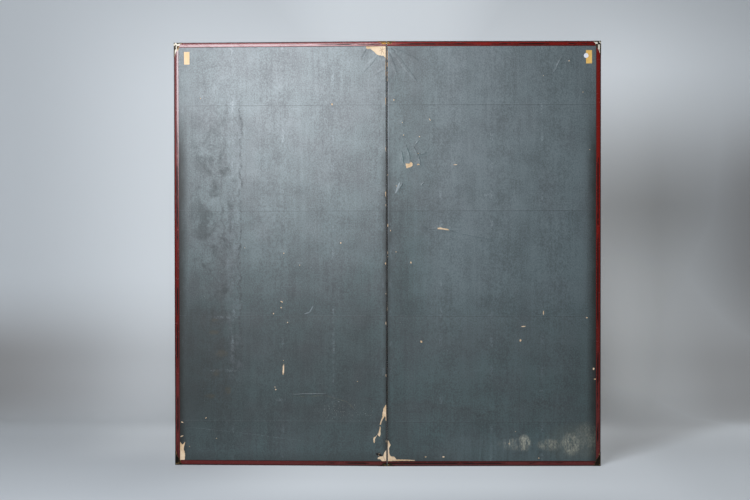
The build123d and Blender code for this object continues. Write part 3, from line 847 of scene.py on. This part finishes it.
def make_gold(name):
    """Gold leaf in squares on paper."""
    material, shader, place, parts = new_material(name)
    drift = clouds(place, 9.0, 3.0) * (3 * MM)
    across = (parts["X"] + drift) / leaf_size
    up = (parts["Z"] + drift) / leaf_size
    leaf = add("CombineXYZ", {0: calc("FLOOR", across), 1: calc("FLOOR", up)})
    tone = add("TexWhiteNoise", {"Vector": leaf}, "Value", noise_dimensions="2D")
    nearest = calc("MINIMUM", calc("PINGPONG", across, 0.5), calc("PINGPONG", up, 0.5))
    lap = 1.0 - ease(nearest, 0.6 * lap_width / leaf_size, lap_width / leaf_size)
    patchy = clouds(place, 30.0, 7.0, roughness=0.68)
    gold = mixed(tone, tint(206, 166, 88), tint(190, 148, 72))
    gold = mixed(lap * 0.55, gold, tint(226, 188, 104))
    rub = ease(patchy, 0.6, 0.74)
    gold = mixed(rub * 0.45, gold, tint(150, 108, 58))
    cells = {"Vector": place, "Scale": 46.0}
    cracks = add("TexVoronoi", cells, "Distance", feature="DISTANCE_TO_EDGE")
    hair = ease(cracks, 0.016, 0.004) * ease(patchy, 0.5, 0.66)
    bare = strongest([hair * 0.7, ease(clouds(place, 380.0, 4.0), 0.72, 0.76)])
    fill(shader, {
        "Base Color": mixed(bare, gold, tint(92, 58, 36)),
        "Metallic": 0.85 - bare * 0.8,
    })
    rough = 0.36 + (tone + patchy) * 0.1
    fill(shader, {"Roughness": rough})
    relief = lap * 0.6 + patchy * 0.5
    fill(shader, {"Normal": bump(relief, 0.12 * MM, 0.6)})
    return material


gold_leaf = make_gold("Gold leaf")
print("made", gold_leaf.name, "with leaves of", round(leaf_size * 1000), "mm")

# %% [markdown]
# ## Brocade
#
# The border is silk brocade with interlaced circles, one of the oldest woven patterns. Circles
# on a square grid, each reaching to the centres of its neighbours' gaps, cut each other into
# petals. For any place it is enough to ask how far it is from the four nearest centres.

# %% Brocade
circle_step = 18 * MM
thread_width = 0.9 * MM


def make_brocade(name):
    """Green and gold silk with interlaced circles."""
    material, shader, place, parts = new_material(name)
    local = [calc("FLOORED_MODULO", parts[axis], circle_step) for axis in ("X", "Z")]
    radius = circle_step * math.sqrt(0.5)

    def from_point(x, z):
        """Distance to a point of the square."""
        dx, dz = local[0] - x, local[1] - z
        return calc("SQRT", dx * dx + dz * dz)

    corners = [(x, z) for x in (0.0, circle_step) for z in (0.0, circle_step)]
    rings = [band(from_point(*corner), radius, thread_width / 2, 0.3 * MM) for corner in corners]
    flower = band(from_point(circle_step / 2, circle_step / 2), 0.0, 1.6 * MM, 0.4 * MM)
    figure = strongest(rings + [flower])
    waves = {"Vector": place, "Scale": 210.0, "Distortion": 0.6}
    twill = add("TexWave", waves, "Fac", wave_type="BANDS", bands_direction="DIAGONAL")
    worn = ease(clouds(place, 24.0, 6.0, roughness=0.7), 0.45, 0.75)
    ground = mixed(twill, tint(44, 54, 44), tint(58, 70, 54))
    ground = mixed(worn * 0.35, ground, tint(92, 88, 62))
    thread = mixed(twill, tint(176, 142, 78), tint(206, 172, 104))
    fill(shader, {
        "Base Color": mixed(figure * 0.92, ground, thread),
        "Roughness": 0.66 - figure * 0.22,
        "Sheen Weight": 0.3,
        "Sheen Roughness": 0.4,
    })
    height = figure + twill * 0.3
    fill(shader, {"Normal": bump(height, 0.25 * MM, 0.6)})
    return material


brocade = make_brocade("Brocade")
print("made", brocade.name)

# %% [markdown]
# ## Labels
#
# Two small blank labels and a round sticker are pasted near the top corners. The left label is
# cream and the right one has browned.

# %% Label papers
def make_label(name, light, dark):
    """Plain label paper, foxed here and there."""
    material, shader, place, parts = new_material(name)
    fibre = place_group(FIBRES, Place=place, Coarseness=1.6)
    colour = mixed(ease(fibre["Mottle"], 0.35, 0.7), light, dark)
    foxing = ease(clouds(place, 190.0, 4.0), 0.64, 0.72)
    colour = mixed(foxing * 0.3, colour, tint(170, 120, 66))
    fill(shader, {
        "Base Color": colour,
        "Roughness": 0.75,
        "Normal": bump(fibre["Fibres"], 0.1 * MM, 0.4),
    })
    return material


cream_label = make_label("Cream label", tint(243, 208, 167), tint(232, 196, 138))
amber_label = make_label("Amber label", tint(234, 190, 104), tint(212, 160, 78))
white_sticker = make_label("White sticker", tint(240, 240, 244), tint(222, 222, 228))
print("made", cream_label.name + ",", amber_label.name, "and", white_sticker.name)

# %% [markdown]
# ## The torn back papers
#
# The facing is one thin sheet that is turned in at the fold. A tear in it is a hole with a
# ragged edge, and the paper round it stands up a little. A hole could be painted, but then it
# would have no edge and nothing behind it. So each sheet is a fine grid with a real thickness,
# and the tears are cut out of it, which shows the under-paper of the CAD model. First come the
# outlines, each with only the corners that its shape needs, in millimetres to the right of the
# fold and above the floor. Where a tear reaches the fold or the frame, its outline runs past
# the edge of the sheet.

# %% Outlines of the tears
TEARS = {
    "left": [
        # peeled off the top of the fold
        [(1, 1702), (-84, 1702), (-82, 1690), (-74, 1687), (-65, 1690), (-53, 1680), (-40, 1667),
         (-30, 1662.5), (-12, 1660), (-8, 1656), (1, 1652)],
        # the long sliver low on the fold, with the strand that hangs from it
        [(1, 256), (-8.5, 245), (-15, 232), (-18, 215), (-18.5, 200), (-22, 193), (-26, 182), (-29.5, 168),
         (-25, 168), (-20.5, 182), (-16, 191), (-10, 202), (-6, 202), (-5, 187), (1, 176)],
        [(-28.5, 162), (-25, 160), (-26, 144), (-25.5, 128), (-29, 120), (-34, 124), (-38, 130),
         (-33.5, 139)],
        [(-40, 127), (-46, 121), (-52.5, 118), (-55.5, 109), (-54, 98), (-51, 93), (-48.5, 98), (-48, 110),
         (-44, 118)],
        # the triangle at the foot of the fold
        [(1, 72), (-10, 57), (-16, 42), (-29, 39.5), (-37, 37), (-38, 30), (-29, 29), (-22, 23), (-20, 17),
         (1, 17)],
        [(-47, 49), (-41, 50.5), (-31, 52), (-20, 45), (-19, 41.5), (-31, 42), (-41, 46)],
        # the corner by the outer stile
        [(-848, 98), (-842, 92), (-837, 85), (-832, 85), (-825, 95), (-823, 93), (-827, 79), (-830, 67),
         (-827, 57), (-824, 45), (-826, 17), (-848, 17)],
    ],
    "right": [
        # beside the foot of the fold, with a long slit above the rail
        [(-1, 109), (6, 104), (11, 93), (14, 85), (11, 79), (8, 76), (8, 64), (10, 50), (14, 41), (28, 39.5),
         (34, 33), (37, 28.5), (70, 28), (112, 25.5), (112, 22.5), (70, 22.5), (21, 22), (16, 17), (-1, 17)],
        # the patch under the creases, and the dash below it
        [(76, 1226), (90, 1225), (98, 1233), (104, 1226), (103, 1215), (93, 1210.5), (79, 1206.5)],
        [(122, 1224), (129, 1225), (133, 1221), (125, 1219)],
        [(205, 966), (216, 967.5), (229, 964), (245, 962), (254, 956), (243, 956.5), (228, 959), (215, 960),
         (206, 960.5)],
    ],
}
tear_count = {side: len(outlines) for side, outlines in TEARS.items()}
print("tears:", tear_count)

# %% [markdown]
# Flecks are tears too small to have corners of their own. Each is a place, a width, a height and
# a tilt in degrees, and its ragged oval is made in code.

# %% Flecks
FLECKS = {
    "left": [
        (-421, 389, 6.5, 50, 3), (-427, 667, 14, 4.5, 35), (-429, 643, 6, 6, 0), (-186, 905, 7, 7, 0),
        (-837, 118, 14, 5, -25), (-836, 175, 12, 6, 20), (-221, 1466, 7, 8, 0), (-418, 864, 5, 5, 0),
        (-806, 76, 4, 4, 0), (-695, 110, 4, 4, 0), (-460, 619, 5, 6, 0), (-403, 583, 5, 6, 0),
        (-452, 310, 6, 6, 0), (-119, 344, 4, 3.5, 0), (-353, 816, 4, 4, 0), (-420, 428, 3, 4, 0),
        (-577, 886, 3.5, 3.5, 0), (-756, 1493, 5, 4, 0), (-738, 193, 8, 4, -45),
        (-455, 320, 4, 5, 0), (-2.5, 1102, 7, 27, 0), (-2, 1058, 6, 12, 0), (-2, 581, 6, 18, 0),
        (-2, 369, 6, 14, 0), (-2, 103, 6, 16, 0), (-2, 1480, 6, 40, 0), (-2, 1620, 5, 60, 0),
        (-2, 1285, 6, 26, 0), (-4, 822, 7, 10, 0), (-2, 700, 5, 10, 0),
    ],
    "right": [
        (29, 1482, 5, 9, 0), (63, 1391, 4, 4, 0), (68, 1341, 5, 5, 20), (132, 1334, 5, 5, 0),
        (174, 1403, 3, 13, -32), (127, 1267, 6, 3, -10), (97, 826, 6, 9, 0), (277, 1221, 15, 4, -4),
        (633, 621, 5, 22, 4), (552, 567, 20, 5, -6), (139, 505, 7, 11, -20), (540, 510, 8, 12, 0),
        (836, 395, 9, 12, 20), (842, 353, 10, 7, 0), (808, 602, 7, 6, 0), (15, 955, 4, 6, 25),
        (39, 1136, 3.5, 4, 0), (37, 869, 4.5, 4, 0), (736, 1639, 5, 5, 0), (228, 38, 11, 7, 0),
        (156, 38, 9, 4, 0), (494, 92, 3.5, 8, 0), (520, 141, 3, 3, 0), (633, 1580, 3, 3, 0),
        (792, 1513, 4, 4, 0), (820, 1281, 4, 4, 0), (614, 33, 7, 5, 0), (2, 977, 7, 17, 0),
        (2, 1180, 6, 9, 0), (2, 1565, 4, 20, 0), (2, 866, 5, 14, 0), (2, 850, 5, 6, 0), (1, 300, 4, 9, 0),
    ],
}


def fleck_outline(across, up, width, height, tilt):
    """A ragged oval."""
    turn = math.radians(tilt)
    corners = max(7, round((width + height) / 3))
    made = []
    for step in range(corners):
        angle = 2 * math.pi * step / corners
        reach = 0.5 * dice.uniform(0.72, 1.12)
        x, z = reach * width * math.cos(angle), reach * height * math.sin(angle)
        right = across + x * math.cos(turn) + z * math.sin(turn)
        above = up - x * math.sin(turn) + z * math.cos(turn)
        made.append((right, above))
    return made


def ragged(outline, step=3.0, rough=0.7):
    """The same outline with more points, pushed about like a torn edge."""
    made = []
    for (x0, z0), (x1, z1) in zip(outline, outline[1:] + outline[:1]):
        count = max(1, round(math.hypot(x1 - x0, z1 - z0) / step))
        for share in (i / count for i in range(count)):
            push = (dice.uniform(-rough, rough), dice.uniform(-rough, rough))
            made.append((x0 + (x1 - x0) * share + push[0], z0 + (z1 - z0) * share + push[1]))
    return made


dice = random.Random(7)
holes = {
    side: [ragged(tear) for tear in TEARS[side]] + [fleck_outline(*fleck) for fleck in FLECKS[side]]
    for side in SIDES
}
print("holes:", {side: len(outlines) for side, outlines in holes.items()})

# %% [markdown]
# A cutter is the tear's outline pulled through the sheet. It starts as a filled circle with as
# many corners as the outline, whose corners are then moved to their places, and it is extruded
# from in front of the paper to behind it.

# %% Cutters
cutter_front_v, cutter_back_v = -3 * MM, 9 * MM


def select_edges(piece, wanted):
    """Selects the edges of a piece in edit mode whose two ends pass a test."""
    bpy.ops.mesh.select_mode(type="EDGE")
    bpy.ops.mesh.select_all(action="DESELECT")
    mesh = bmesh.from_edit_mesh(piece.data)
    for edge in mesh.edges:
        edge.select_set(all(wanted(corner.co) for corner in edge.verts))
    bmesh.update_edit_mesh(piece.data)


def cutter(outline, back_v=cutter_back_v):
    """A prism on an outline, through the paper."""
    bpy.ops.mesh.primitive_circle_add(vertices=len(outline), radius=1, fill_type="NGON")
    made = bpy.context.object
    for corner, (across, up) in zip(made.data.vertices, outline):
        corner.co = (across * MM, flat_y(cutter_front_v), up * MM)
    bpy.ops.object.mode_set(mode="EDIT")
    bpy.ops.mesh.select_all(action="SELECT")
    bpy.ops.mesh.extrude_region_move(TRANSFORM_OT_translate={"value": (0, back_v - cutter_front_v, 0)})
    bpy.ops.mesh.select_all(action="SELECT")
    bpy.ops.mesh.normals_make_consistent(inside=False)
    bpy.ops.object.mode_set(mode="OBJECT")
    return made


def joined(pieces):
    """Several pieces as one object."""
    bpy.ops.object.select_all(action="DESELECT")
    for piece in pieces:
        piece.select_set(True)
    bpy.context.view_layer.objects.active = pieces[0]
    if len(pieces) > 1:
        bpy.ops.object.join()
    return bpy.context.view_layer.objects.active


def apply(piece, kind, **settings):
    """Adds a modifier and applies it."""
    bpy.ops.object.select_all(action="DESELECT")
    piece.select_set(True)
    bpy.context.view_layer.objects.active = piece
    made = piece.modifiers.new(kind.lower(), kind)
    for name, value in settings.items():
        setattr(made, name, value)
    bpy.ops.object.modifier_apply(modifier=made.name)


def cut_holes(piece, outlines, **where):
    """Cuts outlines out of a piece."""
    tool = joined([cutter(outline, **where) for outline in outlines])
    apply(piece, "BOOLEAN", operation="DIFFERENCE", object=tool, solver="EXACT")
    bpy.data.objects.remove(tool, do_unlink=True)


# %% [markdown]
# The sheet is a grid as tall as the panel. Its edge at the fold is extruded into the fold, which
# makes the turned edge, and Solidify gives it the thickness of paper. It is cut while it is still
# flat, because a flat cut is the cleanest.

# %% Flat sheets of back paper
grid_step, tolerance = 9 * MM, 0.001 * MM
turned_in = front_paper_v - paper_thickness - paper_v


def back_sheet(side):
    """The facing of one back, flat and cut."""
    width, height = paper_outer_u - paper_fold_u, paper_high_z - paper_low_z
    middle = (SIDES[side] * (paper_fold_u + width / 2), flat_y(paper_v), paper_low_z + height / 2)
    counts = {"x_subdivisions": round(width / grid_step), "y_subdivisions": round(height / grid_step)}
    bpy.ops.mesh.primitive_grid_add(size=1, location=middle, rotation=(math.pi / 2, 0, 0), **counts)
    sheet = bpy.context.object
    sheet.name = side + "_torn_back_paper"
    sheet.scale = (width, height, 1)
    bpy.ops.object.transform_apply(location=True, rotation=True, scale=True)
    bpy.ops.object.mode_set(mode="EDIT")
    select_edges(sheet, lambda corner: abs(corner.x) < paper_fold_u + tolerance)
    bpy.ops.mesh.extrude_region_move(TRANSFORM_OT_translate={"value": (0, turned_in, 0)})
    bpy.ops.object.mode_set(mode="OBJECT")
    apply(sheet, "SOLIDIFY", thickness=paper_thickness, offset=-1)
    cut_holes(sheet, holes[side])
    return sheet


sheets = {side: back_sheet(side) for side in SIDES}
for side, sheet in sheets.items():
    print(sheet.name, "has", len(sheet.data.vertices), "corners")

# %% [markdown]
# Pasted paper is never flat. It stands a little proud between the bars of the lattice, cockles
# where it has been damp, ripples out from the tears, and lifts at a torn edge. All four are one
# height at each place, moved outwards, so the two faces of the sheet stay together.

# %% Cockles, ripples and lifted edges
puff_height, cockle_height, lift_height = 0.25 * MM, 0.45 * MM, 1.3 * MM
lift_reach, calm_reach, highest_relief = 7 * MM, 30 * MM, 2.2 * MM
RIPPLES = {
    "left": [((-70, 1688), (-108, 1640), 14, 0.6), ((-4, 1600), (-40, 1585), 9, 0.4)],
    "right": [((10, 1690), (46, 1665), 8, 0.7), ((22, 1696), (70, 1652), 9, 0.8),
              ((8, 1660), (30, 1628), 9, 0.5), ((61, 1273), (70, 1212), 7, 1.2),
              ((79, 1300), (98, 1236), 6, 0.9), ((109, 1294), (130, 1256), 6, 1.1),
              ((130, 1256), (137, 1223), 6, 1.0), ((130, 1318), (118, 1304), 7, 1.0),
              ((138, 1264), (161, 1269), 6, 0.8), ((65, 1148), (50, 1124), 7, 1.1),
              ((52, 1128), (40, 1112), 6, 0.8), ((142, 978), (165, 961), 6, 0.8),
              ((254, 957), (289, 945), 5, 0.8), ((289, 945), (425, 919), 6, 0.6),
              ((165, 961), (205, 964), 5, 0.7), ((709, 1656), (684, 1592), 10, 0.7)],
}


def ripple(x, z, start, end, half_width, height):
    """The height of a fold in the paper that dies away at both ends."""
    (x0, z0), (x1, z1) = start, end
    run = (x1 - x0, z1 - z0)
    length = math.hypot(*run)
    share = ((x - x0) * run[0] + (z - z0) * run[1]) / length**2
    away = abs((x - x0) * run[1] - (z - z0) * run[0]) / length
    if not -0.15 < share < 1.15 or away > half_width:
        return 0.0
    along = math.sin(math.pi * (share + 0.15) / 1.3)
    return height * along * (1 - away / half_width) ** 1.5


LABELS = [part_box(name) for name in ("left_label", "right_label", "right_round_sticker")]
label_margin = 4 * MM


def from_labels(x, z):
    """Distance to the nearest label, which the flat paper has to stay under."""
    gaps = []
    for low, high in LABELS:
        beside = max(low.x - x, x - high.x, 0.0)
        above = max(low.z - z, z - high.z, 0.0)
        gaps.append(math.hypot(beside, above))
    return max(0.0, min(gaps) - label_margin)


def cushion(value, start, step):
    """0 on a bar and 1 half way to the next one."""
    return math.sin(math.pi * ((value - start) % step) / step) ** 2


def relief(x, z, side, nearest_tear):
    """How far the paper stands out at a place on the flat screen."""
    u = abs(x)
    edge = min(u - paper_fold_u, paper_outer_u - u, z - paper_low_z, paper_high_z - z)
    calm = min(1.0, max(0.0, min(edge, from_labels(x, z)) / calm_reach))
    bay = cushion(u, upright_start, upright_step) * cushion(z, crossbar_start, crossbar_step)
    damp = 0.5 + 0.5 * noise.noise(Vector((x, 0.3, z)) * 11)
    broad = 0.5 + 0.5 * noise.noise(Vector((x, 0.7, z)) * 4)
    height = calm * (puff_height * bay + cockle_height * damp * broad)
    for start, end, half_width, tall in RIPPLES[side]:
        height += ripple(x / MM, z / MM, start, end, half_width, tall * MM)
    uneven = 0.45 + 0.55 * noise.noise(Vector((x, 0.1, z)) * 90)
    lifted = lift_height * max(0.0, uneven) * math.exp(-nearest_tear / lift_reach)
    return min(highest_relief, height + lifted)


face_depth = 0.3 * MM  # takes in both faces of the sheet, but not the turned edge
smooth_below = math.radians(40)


def roughen(sheet, side):
    """Moves the face of a sheet out by its relief."""
    rims = [(x * MM, 0.0, z * MM) for outline in holes[side] for x, z in outline]
    nearest_rim = KDTree(len(rims))
    for number, rim in enumerate(rims):
        nearest_rim.insert(rim, number)
    nearest_rim.balance()
    for corner in sheet.data.vertices:
        x, y, z = corner.co
        if y < flat_y(paper_v + face_depth):
            away = nearest_rim.find((x, 0.0, z))[2]
            corner.co.y -= relief(x, z, side, away)


coat_roughness = {"left": 0.457, "right": 0.487}
streak_reach = 30 * MM


def facing_paper(side):
    """The slate paper of one panel, without the streaks that lie wholly on the other one."""
    paper = slate.copy()
    paper.name = "Slate paper, " + side
    network = paper.node_tree
    network.nodes["Principled BSDF"].inputs["Coat Roughness"].default_value = coat_roughness[side]
    groups = [node for node in network.nodes if node.type == "GROUP" and node.node_tree == STREAK]
    for streak in groups:
        ends = [streak.inputs[end].default_value[0] * SIDES[side] for end in ("Start", "End")]
        if max(ends) < -streak_reach:
            for link in list(streak.outputs["Mask"].links):
                fed = link.to_socket
                network.links.remove(link)
                fed.default_value = 0.0
            network.nodes.remove(streak)
    print(paper.name, "has", len(network.nodes), "nodes")
    return paper


for side, sheet in sheets.items():
    roughen(sheet, side)
    settle(sheet, side)
    bpy.ops.object.select_all(action="DESELECT")
    sheet.select_set(True)
    bpy.context.view_layer.objects.active = sheet
    bpy.ops.object.shade_smooth_by_angle(angle=smooth_below)
    sheet.data.materials.append(facing_paper(side))
    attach(sheet, side + "_panel")
    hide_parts(side + "_back_paper")
print("placed", [sheet.name for sheet in sheets.values()])

# %% [markdown]
# The hinge ends below the rails, so the gap between the ends of the rails would show the room
# behind. On the real screen the ends of the hinge paper are tucked in there. Each tuck is a
# block a little narrower than the gap, with softened edges, and it moves with the strips that
# it belongs to.

# %% Tucked ends of the hinge paper
tuck_half_width, tuck_margin = 1.1 * MM, 0.8 * MM
tuck_gap, tuck_bevel = 0.2 * MM, 0.3 * MM
tucks = {
    "top": (paper_high_z + tuck_gap, high_corner.z - tuck_margin),
    "bottom": (low_corner.z + tuck_margin, paper_low_z - tuck_gap),
}
for where, (low_z, high_z) in tucks.items():
    near_y, far_y = flat_y(tuck_margin), flat_y(frame_depth - tuck_margin)
    middle = (front_fold.x, (near_y + far_y) / 2, (low_z + high_z) / 2)
    bpy.ops.mesh.primitive_cube_add(size=1, location=middle)
    tuck = bpy.context.object
    tuck.name = "hinge_end_" + where
    tuck.scale = (2 * tuck_half_width, far_y - near_y, high_z - low_z)
    bpy.ops.object.transform_apply(location=True, scale=True)
    apply(tuck, "BEVEL", width=tuck_bevel, segments=2)
    tuck.data.materials.append(tuck_papers[where])
    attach(tuck, "right_back_strips")
print("tucked ends:", list(tucks))

# %% [markdown]
# ## Dressing the CAD parts
#
# A CAD part that already has the right shape only needs its finish. Its name says what it is, so
# the finish is picked by a word in the name, and put in the part's own material slots.

# %% Finishes for the CAD parts
FINISHES = {
    "back_paper": slate,
    "underpaper": cream_paper,
    # the webs in the gap of the fold take the dark hinge paper, as painted shade
    "hinge_webs": shaded_hinge_paper,
    "hinge_back_tabs": cream_paper,
    "hinge_front_tabs": cream_paper,
    "frame_outer_stile": stile_lacquer,
    "frame_top_rail": rail_lacquer,
    "frame_bottom_rail": rail_lacquer,
    "corner_fitting": brass,
    "top_fold_cap": rubbed_brass,
    "bottom_fold_cap": dull_brass,
    "fitting_tacks": tack_brass,
    "frame_nails": iron,
    "core_fold_stile": upright_cedar,
    "core_outer_stile": upright_cedar,
    "lattice_uprights": upright_cedar,
    "core_top_rail": level_cedar,
    "core_bottom_rail": level_cedar,
    "lattice_crossbars": level_cedar,
    "gold_ground": gold_leaf,
    "border": brocade,
    "left_label": cream_label,
    "right_label": amber_label,
    "round_sticker": white_sticker,
}


def finish_for(name):
    """The first finish whose word is in the name of a part."""
    return next(finish for word, finish in FINISHES.items() if word in name)


for name, part in nodes.items():
    for held in part.material_slots:
        held.material = finish_for(name)
print("dressed", len(nodes), "parts")

# %% [markdown]
# ## Floor and backdrop
#
# The studio is one sweep of pale paper: a floor that curves up into a wall. It is a plane whose
# far edge is extruded upwards, with the corner bevelled into a curve. Seen from behind, the
# sweep lets the camera through, so that the front of the screen can be looked at too. Its colour
# carries painted shadows of the screen and painted shade along the curve, and its emission adds
# painted pools of light.

# %% Sweep
def look_through_from_behind(shader):
    """Shows a surface only to those who look at its face."""
    clear = add("BsdfTransparent")
    back = add("NewGeometry", output="Backfacing")
    both = add("MixShader", {0: back, 1: Output(shader.outputs[0]), 2: clear})
    fill(Drawing.tree.nodes["Material Output"], {"Surface": both})


studio_paper, shader, place, parts = new_material("Studio paper")
along, across = parts["Y"] + parts["Z"], parts["X"]
beside = abs(across)
further_out = ease(beside, 1.2, 2.2)
# painted shade: a darker band along the curve of the sweep on the left, more so further out
corner = ease(along, 0.7, 1.7) * ease(along, 2.5, 1.9) * ease(across, 0.9, -0.9)
corner = corner * (0.24 + further_out * 0.38)
# painted shadows: the screen's shadow as a wedge on the floor to the right, and darker patches on the wall
# to the right and low on the right
wedge_line = along - across * 1.34
wedge = ease(wedge_line, -1.25, -0.9) * ease(across, 0.8, 1.05) * ease(along, 1.75, 1.0)
far_right = ease(across, 1.55, 2.0) * ease(along, 1.2, 1.8) * ease(along, 3.55, 2.95)
behind_screen = ease(across, 0.9, 1.2) * ease(along, 2.4, 2.9) * ease(along, 3.55, 3.0)
low_right = ease(across, 1.25, 1.75) * ease(along, 2.55, 1.85) * ease(along, 1.0, 1.3)
shadows = [corner, wedge * 0.5, far_right * 0.46, behind_screen * 0.22, low_right * 0.6]
shade = strongest(shadows)
pale = mixed(ease(along, 0.6, 1.8), tint(190, 194, 197), tint(231, 236, 239))
colour = mixed(shade, pale, tint(117, 108, 101))
fill(shader, {"Base Color": colour, "Roughness": 0.9})
rays = new_node("LightPath").outputs
seen = strongest(Output(rays[f"Is {kind} Ray"]) for kind in ("Camera", "Glossy", "Transmission"))
# painted light: pools of light on the wall, on the floor in front of the screen and to both sides, added as
# emission for camera, glossy and transmission rays
top_fade = strongest([ease(along, 4.4, 3.4), ease(beside, 1.0, 0.2)])
wall_glow = ease(along, 1.9, 2.6) * top_fade * ease(beside, 2.1, 1.0) * 0.16
right_glow = ease(across, 0.9, 1.3) * ease(along, 0.9, 1.7) * ease(along, 2.9, 2.1)
right_glow = right_glow * ease(across, 2.2, 1.3) * 0.14
left_glow = ease(across, -1.75, -1.2) * ease(along, 0.3, 1.0) * ease(along, 2.6, 2.0) * 0.06
left_foot = ease(across, -1.5, -1.05) * ease(across, -0.7, -0.9) * ease(along, 0.0, 0.45)
left_foot = left_foot * ease(along, 1.3, 0.75) * 0.08
left_glow = left_glow + left_foot
upper_right = ease(across, 0.9, 1.3) * ease(along, 2.9, 3.4) * ease(along, 4.0, 3.6) * 0.05
right_glow = right_glow + upper_right
floor_glow = 0.05 + ease(across, 0.5, 1.1) * 0.12
from_middle = abs(across - 0.12)
in_front = ease(from_middle, 1.15, 0.3) * ease(along, -0.9, -0.35) * 0.19
floor_glow = floor_glow + in_front
floor_glow = floor_glow * ease(along, 1.6, 0.8)
glow = seen * (wall_glow + right_glow + (left_glow + floor_glow))
fill(shader, {"Emission Color": (0.94, 1.0, 1.05, 1), "Emission Strength": glow})
look_through_from_behind(shader)

floor_near, floor_far, wall_top = -9.0, 1.75, 7.0
sweep_width, curve_radius, edge_margin = 20.0, 0.6, 0.01
bpy.ops.mesh.primitive_plane_add(size=1, location=(0, 0, 0))
sweep = bpy.context.object
sweep.name = "studio_sweep"
sweep.scale = (sweep_width, floor_far - floor_near, 1)
sweep.location.y = (floor_far + floor_near) / 2
bpy.ops.object.transform_apply(location=True, scale=True)
bpy.ops.object.mode_set(mode="EDIT")
select_edges(sweep, lambda corner: corner.y > floor_far - edge_margin)
bpy.ops.mesh.extrude_region_move(TRANSFORM_OT_translate={"value": (0, 0, wall_top)})
select_edges(sweep, lambda corner: corner.y > floor_far - edge_margin and corner.z < edge_margin)
bpy.ops.mesh.bevel(offset=curve_radius, segments=24, affect="EDGES")
bpy.ops.object.mode_set(mode="OBJECT")
bpy.ops.object.shade_smooth()
sweep.data.materials.append(studio_paper)
print("sweep has", len(sweep.data.polygons), "faces")

# %% [markdown]
# ## Lamps and sky
#
# A big soft lamp stands above the camera and a little to its left. Its reflection is the sheen in
# the upper left of the backs, and the same lamp throws the shadow to the right. The sky fills the
# rest. One lamp is enough, because a studio shot of a flat thing is lit from one side.

# %% Lamps
def soft_lamp(name, place, target, width, height, power):
    """A rectangular area lamp that looks at a target."""
    light = bpy.data.lights.new(name, "AREA")
    light.shape, light.energy = "RECTANGLE", power
    light.size, light.size_y = width, height
    lamp = bpy.data.objects.new(name, light)
    bpy.context.scene.collection.objects.link(lamp)
    lamp.location = place
    lamp.rotation_euler = (Vector(target) - Vector(place)).to_track_quat("-Z", "Y").to_euler()
    return lamp


lamp_place, lamp_target = (-0.94, -3.0, 2.12), (-0.2, 0, 1.0)
sheen_lamp = soft_lamp("sheen_lamp", lamp_place, lamp_target, width=1.5, height=1.3, power=112)
sheen_lamp.data.color = (0.955, 1.0, 1.07)

world = bpy.data.worlds.new("Studio")
bpy.context.scene.world = world
world.use_nodes = True
sky = world.node_tree.nodes["Background"]
sky.inputs["Color"].default_value = (0.80, 0.80, 0.80, 1)
sky.inputs["Strength"].default_value = 0.17

# %% [markdown]
# ## Camera
#
# The camera stands five metres in front of the backs, a little below the middle of the screen,
# and looks very slightly down and to the left.

# %% Camera
camera_place = (0.063, -5.0, 0.941)
camera_data = bpy.data.cameras.new("camera")
camera_data.sensor_width = 36.0
camera_data.lens = 59.17
camera = bpy.data.objects.new("camera", camera_data)
bpy.context.scene.collection.objects.link(camera)
yaw, pitch, roll = math.radians(1.272), math.radians(89.261), math.radians(-0.08)
turn = Matrix.Rotation(yaw, 4, "Z") @ Matrix.Rotation(pitch, 4, "X") @ Matrix.Rotation(roll, 4, "Z")
camera.matrix_world = Matrix.Translation(camera_place) @ turn
bpy.context.scene.camera = camera
bpy.context.scene.view_settings.view_transform = "Standard"
print("camera at", tuple(round(v, 3) for v in camera.location))
